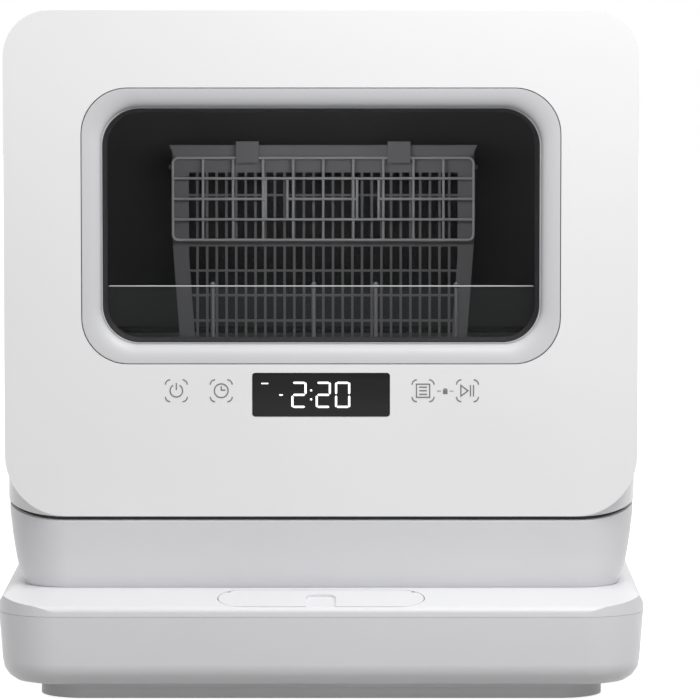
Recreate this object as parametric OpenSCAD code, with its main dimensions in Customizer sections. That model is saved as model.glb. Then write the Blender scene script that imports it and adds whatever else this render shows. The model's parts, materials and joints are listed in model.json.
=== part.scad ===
// Countertop dishwasher. Its windowed hood lifts off a bowl-shaped body about a hinge at the back.
// Millimetres. X points right, Y to the back and Z up. The origin is the middle of the footprint.

/* [Outer form] */
// Width of the hood
hood_w = 422; // [412:1:440]
// Depth of the base, the deepest piece
base_d = 435; // [430:1:450]
// Height of the whole machine
total_h = 460; // [452:1:475]
// How much wider than the hood the base is, on each side
base_ledge = 5; // [4:0.5:6]
// How far the base stands out before the hood
base_step = 31; // [29:1:34]
// How far the hood's back lies inside the back of the base
back_setback = 4; // [3.5:0.5:6]
// Radius of the hood's top corners, seen from the front
hood_top_r = 31; // [26:1:34]
// Radius of the front face's lower corners, seen from the front
hood_foot_r = 41; // [36:1:44]
// Radius of the upright front corners, seen from above
plan_front_r = 40; // [36:1:44]
// Radius of the upright rear corners, seen from above
plan_rear_r = 20; // [17:1:24]
// Wall of the outer shells
wall = 3; // [2.6:0.1:3.4]

/* [Split between hood and body] */
// Height of the split at the hood's front face
split_front_z = 122.5; // [121:0.5:125]
// Rise of the split towards the back, in degrees
split_angle = 14.5; // [13.5:0.5:15.5]
// Thickness of the black seal in the split
seal_t = 3; // [2.6:0.1:3.4]
// How far the body's rim lies inside the hood's face
body_in = 0.8; // [0.5:0.1:1.5]
// Even part of the body's draw-in, from its rim down to the base
body_lean = 4.5; // [4:0.1:5]
// Rounded part of the body's draw-in near the base
body_round = 6; // [5:0.5:6.5]

/* [Window and controls] */
// Height of the window's middle
win_z = 316.5; // [314:0.5:319]
// Width of the bezel
win_w = 319; // [312:1:322]
// Height of the bezel
win_h = 184; // [180:1:186]
// Corner radius of the bezel
win_r = 31; // [29:1:33]
// Width of the sloped bezel, seen from the front
bezel_band = 13.9; // [13:0.1:15]
// How deep the glass lies behind the hood's face
bezel_deep = 8; // [7:0.5:9]
// Thickness of the glass
glass_t = 4; // [3.5:0.1:4.5]
// Middle height of the display and the touch keys
panel_z = 204; // [203:0.5:206]
// Width of the display
display_w = 91.6; // [88:0.1:94]
// Height of the display
display_h = 29.2; // [28:0.1:31]
// Width of a touch key's bracket
key_w = 15.4; // [14:0.1:16]
// Height of a digit
digit_h = 17.4; // [16:0.1:18]

/* [Base] */
// Height of the base's underside
plinth_top = 11.6; // [11:0.2:12.2]
// Width of the foot plinth
plinth_w = 377; // [370:1:382]
// How far the plinth lies behind the front of the base
plinth_back = 25; // [22:1:28]
// Height of the seam between the base's shell and its cover
seam_z = 58.7; // [58.2:0.1:59.2]
// Height of the cover's front edge
cover_front_z = 65; // [64.6:0.1:65.4]
// Height of the cover where the body stands on it
cover_top_z = 73.3; // [73:0.1:73.8]
// Depth of the cover's sloped front
slope_run = 36; // [35.5:0.5:37]
// Radius of the fillet round the bottom of the base
base_fillet = 15; // [12:1:17]
// How much the base narrows from its seam to its underside, on each side
base_lean = 2.4; // [2:0.1:2.8]
// Radius of the cover's side edges
cover_side_r = 12; // [10:0.5:13]
// Length of the fill flap
flap_w = 137; // [130:1:142]
// Width of the fill flap, up the slope
flap_l = 31; // [29:0.5:31]
// Width of the finger notch in the flap
notch_w = 19.5; // [17:0.5:22]

/* [Wash chamber] */
// Space between the hood's side walls and its liner
side_gap = 12; // [11.5:0.1:12.5]
// Wall of the liner and of the tub
liner_t = 2; // [1.8:0.1:2.2]
// Distance from the hood's face to the liner's front
front_gap = 18; // [18:0.1:18.6]
// Height of the tub's floor
tub_floor_z = 84; // [83:0.5:85]
// Radius of the sump
sump_r = 50; // [47:1:52]
// Middle of the sump and of the spray arm, from front to back
sump_y = 10; // [8:1:12]
// Length of the spray arm from its axis
arm_l = 130; // [120:1:131]
// Height of the clear splash guard's top edge
guard_top_z = 275.5; // [273:0.5:278]
// Width of the splash guard
guard_w = 286; // [280:1:290]

/* [Rack] */
// Width of the rack's back wall at its top
rack_w = 218; // [214:1:221]
// Height of the rack's back wall
rack_top_z = 358; // [355:1:360]
// Height of the rack's front wall
rack_front_z = 200; // [195:1:205]
// Height of the rack's floor
rack_floor_z = 126; // [124:1:128]
// Place of the rack's back wall
rack_back_y = 110; // [108:1:111]
// Place of the rack's front wall
rack_front_y = -90; // [-91:1:-88]
// Height at which the rack begins to narrow
rack_knee_z = 289; // [286:1:292]
// How much the rack narrows from there to its floor, on each side
rack_taper = 12; // [11:0.5:13]
// Spacing of the slots in the back wall
slot_pitch = 7; // [6.8:0.1:7.4]
// Radius of the cup shelf's wires
wire_r = 1; // [0.9:0.05:1.1]
// Spacing of the cup shelf's long wires
shelf_pitch = 14.8; // [14:0.1:15.2]
// Width of the cutlery basket
cutlery_w = 167; // [160:1:170]
// Height of the cutlery basket's rim
cutlery_top_z = 229; // [225:1:231]
// Height of the posts of the cutlery basket
post_top_z = 272.5; // [270:0.5:275]

/* [Hidden] */

// Clearances
run_gap = 0.3;      // between pieces that move past each other
seat_gap = 0.15;    // round a piece that sits in a cut-out
bore_gap = 0.05;    // round a shaft or pin that turns
big = 600;          // cutters reach this far

// Outer faces
base_hw = hood_w / 2 + base_ledge;
base_front_y = -base_d / 2;
base_back_y = base_d / 2;
hood_hw = hood_w / 2;
hood_front_y = base_front_y + base_step;
hood_back_y = base_back_y - back_setback;
foot_centre_z = split_front_z + hood_foot_r;
body_hw = hood_hw - body_in;
body_front_y = hood_front_y + body_in;
slope_angle = atan((cover_top_z - cover_front_z) / slope_run);

// Hinge of the hood
hinge_in = 8;
hinge_y = hood_back_y - hinge_in;
hinge_z = split_front_z + (hinge_y - hood_front_y) * tan(split_angle);
hinge_x = hood_hw - 60;
pin_r = 2.5;
ear_r = 4.5;
ear_t = 3;
barrel_r = 4.7;
arm_w = 15;
rear_drop = 10;
rear_step_y = hinge_y - 11;

// Liner, tub and rim
liner_hw = hood_hw - wall - side_gap;
liner_front_y = hood_front_y + front_gap;
liner_back_y = hinge_y - 12;
liner_top_z = total_h - wall - side_gap;
liner_r = 18;
tub_hw = liner_hw - liner_t - 4;
tub_front_y = liner_front_y + liner_t + 2;
tub_back_y = liner_back_y - liner_t - 4;
tub_r = 26;
rim_d = run_gap + seal_t;
lip_in = 3;

// Window
glass_r = win_r - 6;
glass_lap = 4;
seal_lap = 3;

// Controls
lens_t = 2;
lens_deep = 0.3;
print_t = 0.2;
board_y = hood_front_y + 10;
board_t = 1.6;
board_hw = hood_w * 4 / 15;
key_x = [-96.4, -66.5, 68, 97.6];
key_z = panel_z + 2.8;
stroke = 0.8;

// Fill flap, in the plane of the cover's sloped front
flap_t = 3;
flap_gap = 0.6;
flap_mid = slope_run / 2 + 0.5;
flap_axis_in = 3;
flap_axis_deep = 1.3;
flap_pin_r = 1;
flap_pin_l = 10;
funnel_t = 2;
funnel_mid = flap_mid - 2;
funnel_l = flap_l - 8;
funnel_deep = 13.5;

// Inside the base
base_floor_z = plinth_top + wall;
tank_top_z = 50;
tank_back_y = base_front_y + 105;
tank_in = 12;
skirt_h = 3;
skirt_out = 0.8;
pump_z = 41;
pump_r = 26;
recess_w = 200;
recess_deep = 24;
recess_top_z = 57;
recess_y = base_back_y - recess_deep;
port_z = 35;
inlet_x = -62;
drain_x = 62;
inlet_r = 13.2;
drain_r = 9;
gland_r = 10;
fan_in = 59.5;
fan_x = -(base_hw - fan_in);
vent_z0 = 28;
vent_z1 = 54;
fan_s = 42;
fan_r = 18;
fan_lift = 8;
fan_z = base_floor_z + fan_lift + fan_s / 2;

// Rack
rack_t = 2.4;
rack_lip = 0.5;
rail_h = 8.6;
rack_band = 11;
slot_rows = [[322.5, 338.1], [288.6, 320.9], [267.9, 284.6], [250, 266.3], [231.7, 248.4], [213, 230],
    [194, 211], [175, 192], [156, 173], [137, 154]];
rack_pin_z = 342;
clip_x = 54.6;
clip_w = 16.4;
shelf_y = rack_back_y - 8;
shelf_top_z = rack_top_z - 9;
shelf_hw = rack_w / 2 - 0.6;
shelf_bars = 11;
basket_x = 0.04 * rack_w;
basket_t = 2;
basket_y = rack_front_y + 5;
basket_d = 42;
basket_floor_z = rack_floor_z + rack_lip + run_gap;
posts = [0, 0.414, 0.669, 1];
grid_x = 18;
grid_y = 27;
tines = 8;
tine_in = 13;
tine_h = 60;
tine_r = 1.5;

// Points on an arc, from one angle to another
function arc(cx, cy, r, a0, a1, n = 12) =
    [for (i = [0 : n]) [cx + r * cos(a0 + (a1 - a0) * i / n), cy + r * sin(a0 + (a1 - a0) * i / n)]];

// A rectangle with two radii: ra for its lower corners and rb for its upper ones
function rounded(x0, y0, x1, y1, ra, rb) = concat(
    arc(x0 + ra, y0 + ra, ra, 180, 270), arc(x1 - ra, y0 + ra, ra, 270, 360),
    arc(x1 - rb, y1 - rb, rb, 0, 90), arc(x0 + rb, y1 - rb, rb, 90, 180));

// A pill with its middle at the given point
function pill(cy, w, l) = rounded(-w / 2, cy - l / 2, w / 2, cy + l / 2, l / 2 - 0.01, l / 2 - 0.01);

// The window's outline, drawn in from the bezel's edge
function win(inset, r) =
    rounded(-win_w / 2 + inset, win_z - win_h / 2 + inset, win_w / 2 - inset, win_z + win_h / 2 - inset, r, r);

// The body's outline from above
function plan(hw, y0, y1, inset) =
    rounded(-hw + inset, y0 + inset, hw - inset, y1 - inset, plan_front_r - inset, plan_rear_r - inset);

// Height of the split, and of a plane that lies d below it
function split_z(y, d = 0) = split_front_z + (y - hood_front_y) * tan(split_angle) - d / cos(split_angle);

// The body's draw-in, where u runs from 0 at the rim to 1 at the base
function draw_in(u) = body_lean * u + body_round * (1 - sqrt(1 - u * u));

// The body's outline at a draw-in; its back stays upright
function body_plan(inset, t) = rounded(-body_hw + inset + t, body_front_y + inset + t, body_hw - inset - t,
    hood_back_y - t, plan_front_r - inset - t, plan_rear_r - inset - t);

// A flat outline lifted to a height
function ring(points, z) = [for (p = points) [p[0], p[1], z]];

module prism_x(points, w) {
    rotate([90, 0, 90])
        linear_extrude(height = w, center = true)
            polygon(points);
}

module prism_y(points, y0, y1) {
    translate([0, y1, 0])
        rotate([90, 0, 0])
            linear_extrude(height = y1 - y0)
                polygon(points);
}

module prism_z(points, z0, z1) {
    translate([0, 0, z0])
        linear_extrude(height = z1 - z0)
            polygon(points);
}

// A closed skin over rings of equally many points, from the lowest ring to the highest
module loft(rings) {
    n = len(rings[0]);
    top = (len(rings) - 1) * n;
    polyhedron(
        points = [for (r = rings) each r],
        faces = concat(
            [[for (i = [0 : n - 1]) i]],
            [for (k = [0 : len(rings) - 2], i = [0 : n - 1]) [k * n + i, (k + 1) * n + i, (k + 1) * n + (i + 1) % n]],
            [for (k = [0 : len(rings) - 2], i = [0 : n - 1]) [k * n + i, (k + 1) * n + (i + 1) % n, k * n + (i + 1) % n]],
            [[for (i = [n - 1 : -1 : 0]) top + i]]));
}

module tube_x(x0, x1, r, y, z) {
    translate([x0, y, z])
        rotate([0, 90, 0])
            cylinder(h = x1 - x0, r = r, $fn = 48);
}

module tube_y(y0, y1, r, x, z) {
    translate([x, y1, z])
        rotate([90, 0, 0])
            cylinder(h = y1 - y0, r = r, $fn = 48);
}

module tube_z(z0, z1, r, x = 0, y = 0) {
    translate([x, y, z0])
        cylinder(h = z1 - z0, r = r, $fn = 64);
}

module block(x0, x1, y0, y1, z0, z1) {
    translate([x0, y0, z0])
        cube([x1 - x0, y1 - y0, z1 - z0]);
}

module pair() {
    children();
    mirror([1, 0, 0])
        children();
}

// Everything below the split, for the hood's pieces; behind the hinge the cut is level
module below_split() {
    prism_x([[-big, split_z(-big)], [hinge_y, hinge_z], [big, hinge_z], [big, -big], [-big, -big]], 2 * big);
}

// Everything above a plane that lies d below the split, with a step down under the hood's rear wall
module above_rim(d) {
    prism_x([[-big, split_z(-big, d)], [rear_step_y, split_z(rear_step_y, d)],
        [rear_step_y, hinge_z - rear_drop], [big, hinge_z - rear_drop], [big, big * 2], [-big, big * 2]], 2 * big);
}

// A slab between two planes that lie d0 and d1 below the split, up to y1
module split_band(d0, d1, y1) {
    prism_x([[-big, split_z(-big, d0)], [y1, split_z(y1, d0)], [y1, split_z(y1, d1)], [-big, split_z(-big, d1)]],
        2 * big);
}

// Stands a piece square to the split, at a distance from front to back
module on_split(y) {
    translate([0, y, split_z(y)])
        rotate([split_angle, 0, 0])
            children();
}

// Stands a piece on the cover's sloped front: y runs up the slope, z out of it
module on_slope() {
    translate([0, base_front_y, cover_front_z])
        rotate([slope_angle, 0, 0])
            children();
}

// Corner left outside both the front view's foot arc and the plan's corner arc
module foot_corner(t) {
    intersection() {
        prism_z(concat(arc(hood_hw - plan_front_r, hood_front_y + plan_front_r, plan_front_r - t, 0, -90),
            [[hood_hw - plan_front_r, hood_front_y - 5], [hood_hw + 5, hood_front_y - 5],
            [hood_hw + 5, hood_front_y + plan_front_r]]), 0, foot_centre_z);
        prism_y(concat(arc(hood_hw - hood_foot_r, foot_centre_z, hood_foot_r - t, 0, -90),
            [[hood_hw - hood_foot_r, 0], [hood_hw + 5, 0], [hood_hw + 5, foot_centre_z]]),
            hood_front_y - 5, hood_front_y + plan_front_r);
    }
}

// The hood's outer form, drawn in by t
module hood_form(t, z0) {
    difference() {
        intersection() {
            prism_y(rounded(-hood_hw + t, z0, hood_hw - t, total_h - t, 0, hood_top_r - t),
                hood_front_y + t, hood_back_y - t);
            prism_z(rounded(-hood_hw + t, hood_front_y + t - 1, hood_hw - t, hood_back_y - t, 0, plan_rear_r - t),
                z0 - 1, total_h + 1);
        }
        pair()
            foot_corner(t);
    }
}

module hood_shell() {
    color("white") {
        difference() {
            hood_form(0, split_front_z - 30);
            hood_form(wall, split_front_z - 40);
            below_split();
            prism_y(win(-seat_gap, win_r), hood_front_y - 1, hood_front_y + wall + 1);
            prism_y(display_outline(seat_gap), hood_front_y - 1, hood_front_y + wall + 1);
        }
        for (x = [-1, 1], dz = [-1, 1])
            tube_y(hood_front_y + wall, board_y, 3, x * 100, panel_z + dz * 15);
    }
}

module window_bezel() {
    color("gainsboro")
        difference() {
            prism_y(win(0, win_r), hood_front_y, hood_front_y + bezel_deep);
            hull() {
                prism_y(win(1.2, win_r - 1), hood_front_y - 0.02, hood_front_y - 0.01);
                prism_y(win(bezel_band, glass_r), hood_front_y + bezel_deep + 0.01, hood_front_y + bezel_deep + 0.02);
            }
        }
}

module window_glass() {
    color([0.13, 0.13, 0.14, 0.55])
        prism_y(win(bezel_band - glass_lap, glass_r + glass_lap),
            hood_front_y + bezel_deep, hood_front_y + bezel_deep + glass_t);
}

module window_seal() {
    color("black")
        difference() {
            prism_y(win(bezel_band - glass_lap, glass_r + glass_lap),
                hood_front_y + bezel_deep + glass_t, liner_front_y);
            prism_y(win(bezel_band + seal_lap, glass_r - seal_lap), hood_front_y, liner_front_y + 1);
        }
}

module liner_form(t) {
    prism_y(rounded(-liner_hw + t, 60, liner_hw - t, liner_top_z - t, 0, liner_r - t),
        liner_front_y + t, liner_back_y - t);
}

module hood_liner() {
    color("darkgray")
        difference() {
            union() {
                liner_form(0);
                intersection() {
                    hood_form(wall, 60);
                    split_band(-liner_t, 0, liner_back_y);
                }
            }
            translate([0, 0, -1])
                liner_form(liner_t);
            below_split();
            prism_y(win(bezel_band + seal_lap - 0.5, glass_r - seal_lap), hood_front_y, liner_front_y + liner_t + 1);
            on_split(striker_y)
                block(-striker_w / 2 - 2, striker_w / 2 + 2, -4, 4, -5, 5);
        }
}

function display_outline(grow) = rounded(-display_w / 2 - grow, panel_z - display_h / 2 - grow,
    display_w / 2 + grow, panel_z + display_h / 2 + grow, 2 + grow, 2 + grow);

module display_lens() {
    color("black")
        prism_y(display_outline(0), hood_front_y + lens_deep, hood_front_y + lens_deep + lens_t);
}

// One seven-segment digit; on holds a flag for each segment: top, upper left, upper right, middle,
// lower left, lower right, bottom
module digit(x, on) {
    w = digit_h * 0.58;
    h = digit_h;
    s = 1.9;
    g = 0.35;
    boxes = [
        [-w / 2 + s, w / 2 - s, h / 2 - s, h / 2],
        [-w / 2, -w / 2 + s, s / 2 + g, h / 2 - g],
        [w / 2 - s, w / 2, s / 2 + g, h / 2 - g],
        [-w / 2 + s, w / 2 - s, -s / 2, s / 2],
        [-w / 2, -w / 2 + s, -h / 2 + g, -s / 2 - g],
        [w / 2 - s, w / 2, -h / 2 + g, -s / 2 - g],
        [-w / 2 + s, w / 2 - s, -h / 2, -h / 2 + s]];
    for (i = [0 : 6])
        if (on[i] == 1)
            block(x + boxes[i][0], x + boxes[i][1], hood_front_y + lens_deep - print_t, hood_front_y + lens_deep,
                panel_z + boxes[i][2], panel_z + boxes[i][3]);
}

module display_digits() {
    two = [1, 0, 1, 1, 1, 0, 1];
    zero = [1, 1, 1, 0, 1, 1, 1];
    color("white") {
        digit(-14.7, two);
        digit(1.5, two);
        digit(14.4, zero);
        for (z = [-3, 3])
            block(-7.3, -5.9, hood_front_y + lens_deep - print_t, hood_front_y + lens_deep,
                panel_z + z - 0.7, panel_z + z + 0.7);
        block(-40, -35, hood_front_y + lens_deep - print_t, hood_front_y + lens_deep, panel_z + 7, panel_z + 8);
        block(-28, -25.4, hood_front_y + lens_deep - print_t, hood_front_y + lens_deep, panel_z - 0.6, panel_z + 0.4);
    }
}

// A ring or part of one, drawn flat
module ring_part(r, a0, a1) {
    polygon(concat(arc(0, 0, r, a0, a1, 16), arc(0, 0, r - stroke, a1, a0, 16)));
}

// The four corner marks round a touch key
module key_frame() {
    r = 3.6;
    for (a = [0 : 90 : 270])
        rotate([0, 0, a])
            translate([key_w / 2 - r, key_w / 2 - r])
                ring_part(r, 0, 90);
}

module power_glyph() {
    ring_part(4.6, 120, 420);
    translate([-stroke / 2, 0.6])
        square([stroke, 4.6]);
}

module clock_glyph() {
    ring_part(5, 0, 180);
    ring_part(5, 180, 360);
    translate([-stroke / 2, 0])
        square([stroke, 3]);
    square([2.8, stroke]);
}

module list_glyph() {
    for (s = [-1, 1])
        translate([s * 4.4 - stroke / 2, -4.8])
            square([stroke, 9.6]);
    for (z = [-4.8, 4.8 - stroke])
        translate([-4, z])
            square([8, stroke]);
    for (z = [-2.4, 0, 2.4])
        translate([-2.6, z - stroke / 2])
            square([5.2, stroke]);
}

module play_glyph() {
    difference() {
        polygon([[-4.8, -4.4], [-4.8, 4.4], [1, 0]]);
        polygon([[-4, -2.8], [-4, 2.8], [-0.3, 0]]);
    }
    for (x = [1.6, 3.6])
        translate([x, -3.8])
            square([stroke, 7.6]);
}

module lock_glyph() {
    translate([-1.5, -2.2])
        square([3, 2.6]);
    ring_part(1.6, 15, 165);
    for (x = [-5.6, 2.8])
        translate([x, -stroke / 2])
            square([2.8, stroke / 2]);
}

module print_at(x) {
    translate([x, hood_front_y, key_z])
        rotate([90, 0, 0])
            linear_extrude(height = print_t)
                children();
}

module key_icons() {
    color("gray") {
        for (x = key_x)
            print_at(x)
                key_frame();
        print_at(key_x[0])
            power_glyph();
        print_at(key_x[1])
            clock_glyph();
        print_at(key_x[2])
            list_glyph();
        print_at(key_x[3])
            play_glyph();
        print_at((key_x[2] + key_x[3]) / 2)
            lock_glyph();
    }
}

module display_module() {
    color("dimgray")
        block(-display_w / 2 + 4, display_w / 2 - 4, hood_front_y + lens_deep + lens_t, board_y,
            panel_z - display_h / 2 + 3, panel_z + display_h / 2 - 3);
}

module control_board() {
    color("seagreen")
        block(-board_hw, board_hw, board_y, board_y + board_t, panel_z - 19, panel_z + 19);
    color("dimgray") {
        block(-30, -12, board_y + board_t, board_y + board_t + 3, panel_z - 9, panel_z + 9);
        block(20, 44, board_y + board_t, board_y + board_t + 5, panel_z - 6, panel_z + 6);
    }
}

module touch_pads() {
    color("silver")
        for (x = key_x)
            tube_y(hood_front_y + wall, board_y, 5, x, key_z);
}

// Hinge
module hinge_arms() {
    color("silver")
        pair()
            difference() {
                union() {
                    tube_x(hinge_x - arm_w / 2, hinge_x + arm_w / 2, barrel_r, hinge_y, hinge_z);
                    block(hinge_x - arm_w / 2, hinge_x + arm_w / 2, hinge_y, hood_back_y - wall,
                        hinge_z, hinge_z + 45);
                }
                tube_x(hinge_x - arm_w, hinge_x + arm_w, pin_r + bore_gap, hinge_y, hinge_z);
            }
}

module hinge_pins() {
    color("silver")
        pair()
            tube_x(hinge_x - arm_w / 2 - ear_t - 1.5, hinge_x + arm_w / 2 + ear_t + 1.5, pin_r, hinge_y, hinge_z);
}

module hinge_brackets() {
    leg_front = hinge_y - ear_r - 1;
    foot_top = hinge_z - rear_drop - 2;
    foot_end = hinge_z - rear_drop - 30;
    color("darkgray")
        pair()
            difference() {
                union() {
                    for (s = [-1, 1]) {
                        x0 = hinge_x + s * (arm_w / 2 + 0.4 + ear_t / 2) - ear_t / 2;
                        tube_x(x0, x0 + ear_t, ear_r, hinge_y, hinge_z);
                        block(x0, x0 + ear_t, leg_front, hinge_y - 0.5, foot_end, hinge_z);
                    }
                    block(hinge_x - arm_w / 2 - ear_t - 0.4, hinge_x + arm_w / 2 + ear_t + 0.4,
                        leg_front, hood_back_y - wall, foot_end, foot_top);
                }
                tube_x(hinge_x - big, hinge_x + big, pin_r + 0.02, hinge_y, hinge_z);
            }
}

module hinge_dampers() {
    x0 = hinge_x + arm_w / 2 + ear_t + 1.6;
    color("dimgray")
        pair()
            tube_x(x0, x0 + 20, ear_r - 0.2, hinge_y, hinge_z);
}

// Latch at the front: a tongue on the hood and a lock under the body's rim
striker_y = hood_front_y + 9.5;
striker_w = 20;
striker_t = 2.4;
striker_l = 11;

module latch_striker() {
    color("silver")
        on_split(striker_y) {
            block(-striker_w / 2, striker_w / 2, -striker_t / 2, striker_t / 2, -striker_l, 10);
            block(-striker_w / 2, striker_w / 2, -striker_y + hood_front_y + wall + 3, -striker_t / 2, 4, 10);
        }
}

module hood_lock() {
    color("dimgray")
        on_split(striker_y)
            difference() {
                block(-striker_w / 2 - 5, striker_w / 2 + 5, -3.5, 3.5, -striker_l - 6, -rim_d - liner_t);
                block(-striker_w / 2 - 1.5, striker_w / 2 + 1.5, -2, 2, -striker_l - 2, 0);
            }
}

// Body
module body_form(t) {
    top = split_z(hood_back_y) + 5;
    drop = split_front_z - cover_top_z;
    loft(concat(
        [for (u = [1, 0.92, 0.8, 0.6, 0.3, 0]) ring(body_plan(draw_in(u), t), split_front_z - u * drop)],
        [ring(body_plan(0, t), top)]));
}

module lower_housing() {
    color("whitesmoke")
        difference() {
            body_form(0);
            intersection() {
                body_form(wall);
                block(-big, big, -big, big, cover_top_z + wall, big);
            }
            above_rim(rim_d);
            tube_z(cover_top_z - 1, cover_top_z + wall + 1, sump_r + 6, 0, sump_y);
        }
}

module tub_form(t, z0, z1) {
    prism_z(rounded(-tub_hw + t, tub_front_y + t, tub_hw - t, tub_back_y - t, tub_r - t, tub_r - t), z0, z1);
}

module wash_tub() {
    color("silver")
        difference() {
            union() {
                tub_form(-liner_t, tub_floor_z - liner_t, big);
                intersection() {
                    split_band(rim_d, rim_d + liner_t, rear_step_y - 0.5);
                    prism_z(plan(body_hw, body_front_y, hood_back_y, wall + 0.7), 0, big);
                }
            }
            tub_form(0, tub_floor_z, big + 1);
            above_rim(rim_d);
            tube_z(tub_floor_z - liner_t - 1, tub_floor_z + 1, sump_r + 0.2, 0, sump_y);
            on_split(striker_y)
                block(-striker_w / 2 - 2, striker_w / 2 + 2, -2.4, 2.4, -rim_d - liner_t - 3, 5);
        }
}

module hood_gasket() {
    color("black")
        difference() {
            intersection() {
                split_band(run_gap, rim_d, rear_step_y - 0.5);
                prism_z(plan(body_hw, body_front_y, hood_back_y, lip_in), 0, big);
            }
            tub_form(0, 0, big + 1);
            on_split(striker_y)
                block(-striker_w / 2 - 2, striker_w / 2 + 2, -2.4, 2.4, -rim_d - 3, 5);
        }
}

// Clear guard that keeps the spray off the window; its feet hook over the tub's rim
module splash_guard() {
    guard_t = 2;
    y0 = tub_front_y + 0.3;
    foot = split_z(y0) - 20;
    color([0.8, 0.85, 0.9, 0.4])
        prism_y(rounded(-guard_w / 2, foot, guard_w / 2, guard_top_z, 4, 2), y0, y0 + guard_t);
}

// Sump, filter and spray arm
sump_bottom_z = 38;

module sump() {
    color("dimgray")
        difference() {
            union() {
                tube_z(sump_bottom_z, tub_floor_z, sump_r, 0, sump_y);
                tube_z(tub_floor_z - liner_t - 2.5, tub_floor_z - liner_t, sump_r + 8, 0, sump_y);
            }
            tube_z(sump_bottom_z + wall, tub_floor_z + 1, sump_r - wall, 0, sump_y);
        }
}

plate_t = 2;
basket_r = 29.5;
hub_r = 8;

module filter_plate() {
    color("silver")
        difference() {
            tube_z(tub_floor_z, tub_floor_z + plate_t, sump_r + 12, 0, sump_y);
            tube_z(tub_floor_z - 1, tub_floor_z + plate_t + 1, basket_r + run_gap, 0, sump_y);
        }
}

module filter_basket() {
    rim_z = tub_floor_z + plate_t + run_gap;
    floor_z = tub_floor_z - 30;
    color("slategray")
        difference() {
            union() {
                tube_z(floor_z, rim_z + 2, basket_r, 0, sump_y);
                tube_z(rim_z, rim_z + 2, basket_r + 5, 0, sump_y);
                for (s = [-1, 1])
                    block(s * (basket_r + 1) - 2, s * (basket_r + 1) + 2, sump_y - 6, sump_y + 6, rim_z, rim_z + 8);
            }
            tube_z(floor_z + 1.5, rim_z + 3, basket_r - 1.5, 0, sump_y);
            tube_z(floor_z - 1, floor_z + 2, hub_r + 1, 0, sump_y);
            for (a = [0 : 30 : 330], z = [floor_z + 5, floor_z + 15])
                translate([0, sump_y, z])
                    rotate([0, 0, a + 15])
                        translate([basket_r - 3, -2.5, 0])
                            cube([5, 5, 7]);
        }
}

arm_z = 98;
arm_h = 9;
stem_r = 6;

module spray_hub() {
    color("gray")
        difference() {
            union() {
                tube_z(sump_bottom_z + wall, arm_z - run_gap, hub_r, 0, sump_y);
                tube_z(sump_bottom_z + wall, arm_z + arm_h + 5.5, stem_r, 0, sump_y);
            }
            tube_z(sump_bottom_z + 10, arm_z - 6, hub_r - 2.5, 0, sump_y);
        }
}

// Half of the arm's outline, from its root to its round tip
function blade() = concat([[0, -15]], arc(arm_l - 10, 0, 10, -90, 90), [[0, 15]]);

module spray_arm() {
    color("gray")
        translate([0, sump_y, arm_z])
            difference() {
                union() {
                    cylinder(h = arm_h + 4, r = 17, $fn = 64);
                    for (a = [0, 180])
                        rotate([0, 0, a]) {
                            linear_extrude(height = arm_h)
                                polygon(blade());
                            for (i = [0 : 4])
                                translate([30 + i * 21, 3 * (i % 2 == 0 ? 1 : -1), arm_h])
                                    cylinder(h = 1.2, r = 3, $fn = 32);
                        }
                }
                translate([0, 0, -1])
                    cylinder(h = arm_h + 6, r = stem_r + run_gap, $fn = 64);
                for (a = [0, 180])
                    rotate([0, 0, a])
                        for (i = [0 : 4])
                            translate([30 + i * 21, 3 * (i % 2 == 0 ? 1 : -1), arm_h - 4])
                                cylinder(h = 6, r = 1.2, $fn = 24);
            }
}

module spray_cap() {
    color("dimgray")
        tube_z(arm_z + arm_h + 5.5, arm_z + arm_h + 9.5, 10, 0, sump_y);
}

// Pumps, each with a wheel on a motor shaft along X
module pump_case(s, r, x0, w) {
    difference() {
        union() {
            tube_x(s > 0 ? x0 : -x0 - w, s > 0 ? x0 + w : -x0, r, sump_y, pump_z);
            tube_x(s > 0 ? sump_r - 2 : -x0, s > 0 ? x0 : -sump_r + 2, 9, sump_y, pump_z + 4);
        }
        tube_x(s > 0 ? x0 + 2.5 : -x0 - w + 2.5, s > 0 ? x0 + w - 2.5 : -x0 - 2.5, r - 3, sump_y, pump_z);
        tube_x(s > 0 ? x0 + w - 3 : -x0 - w - 1, s > 0 ? x0 + w + 1 : -x0 - w + 3, 4.2, sump_y, pump_z);
        tube_z(sump_bottom_z - 5, tub_floor_z, sump_r + 0.1, 0, sump_y);
    }
}

module pump_wheel(s, r, x0, w, shaft) {
    translate([s * (x0 + w / 2), sump_y, pump_z])
        rotate([0, s * 90, 0]) {
            translate([0, 0, -w / 2 + 5])
                cylinder(h = 2, r = r, $fn = 48);
            translate([0, 0, -w / 2 + 5])
                cylinder(h = shaft, r = 3, $fn = 48);
            for (a = [0 : 60 : 300])
                rotate([0, 0, a])
                    translate([2, -0.8, -w / 2 + 7])
                        cube([r - 4, 1.6, w - 12]);
        }
}

module pump_motor(s, r, x0, l) {
    translate([s * x0, sump_y, pump_z])
        rotate([0, s * 90, 0])
            difference() {
                union() {
                    cylinder(h = l, r = r, $fn = 64);
                    translate([0, 0, l])
                        cylinder(h = 4, r = r * 0.5, $fn = 48);
                }
                translate([0, 0, -1])
                    cylinder(h = 26, r = 3 + bore_gap, $fn = 48);
            }
}

wash_x = 60;
wash_wide = 20;
drain_wide = 16;
wash_motor_l = 60;
drain_motor_l = 40;
motor_thin = 9;

module wash_pump() {
    color("darkslategray")
        pump_case(-1, pump_r, wash_x, wash_wide);
}

module wash_impeller() {
    color("lightgray")
        pump_wheel(-1, 20, wash_x, wash_wide, 30);
}

module wash_motor() {
    color("dimgray")
        pump_motor(-1, pump_r - 4, wash_x + wash_wide, wash_motor_l);
}

module drain_pump() {
    color("darkslategray")
        pump_case(1, pump_r - 6, wash_x, drain_wide);
}

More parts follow.
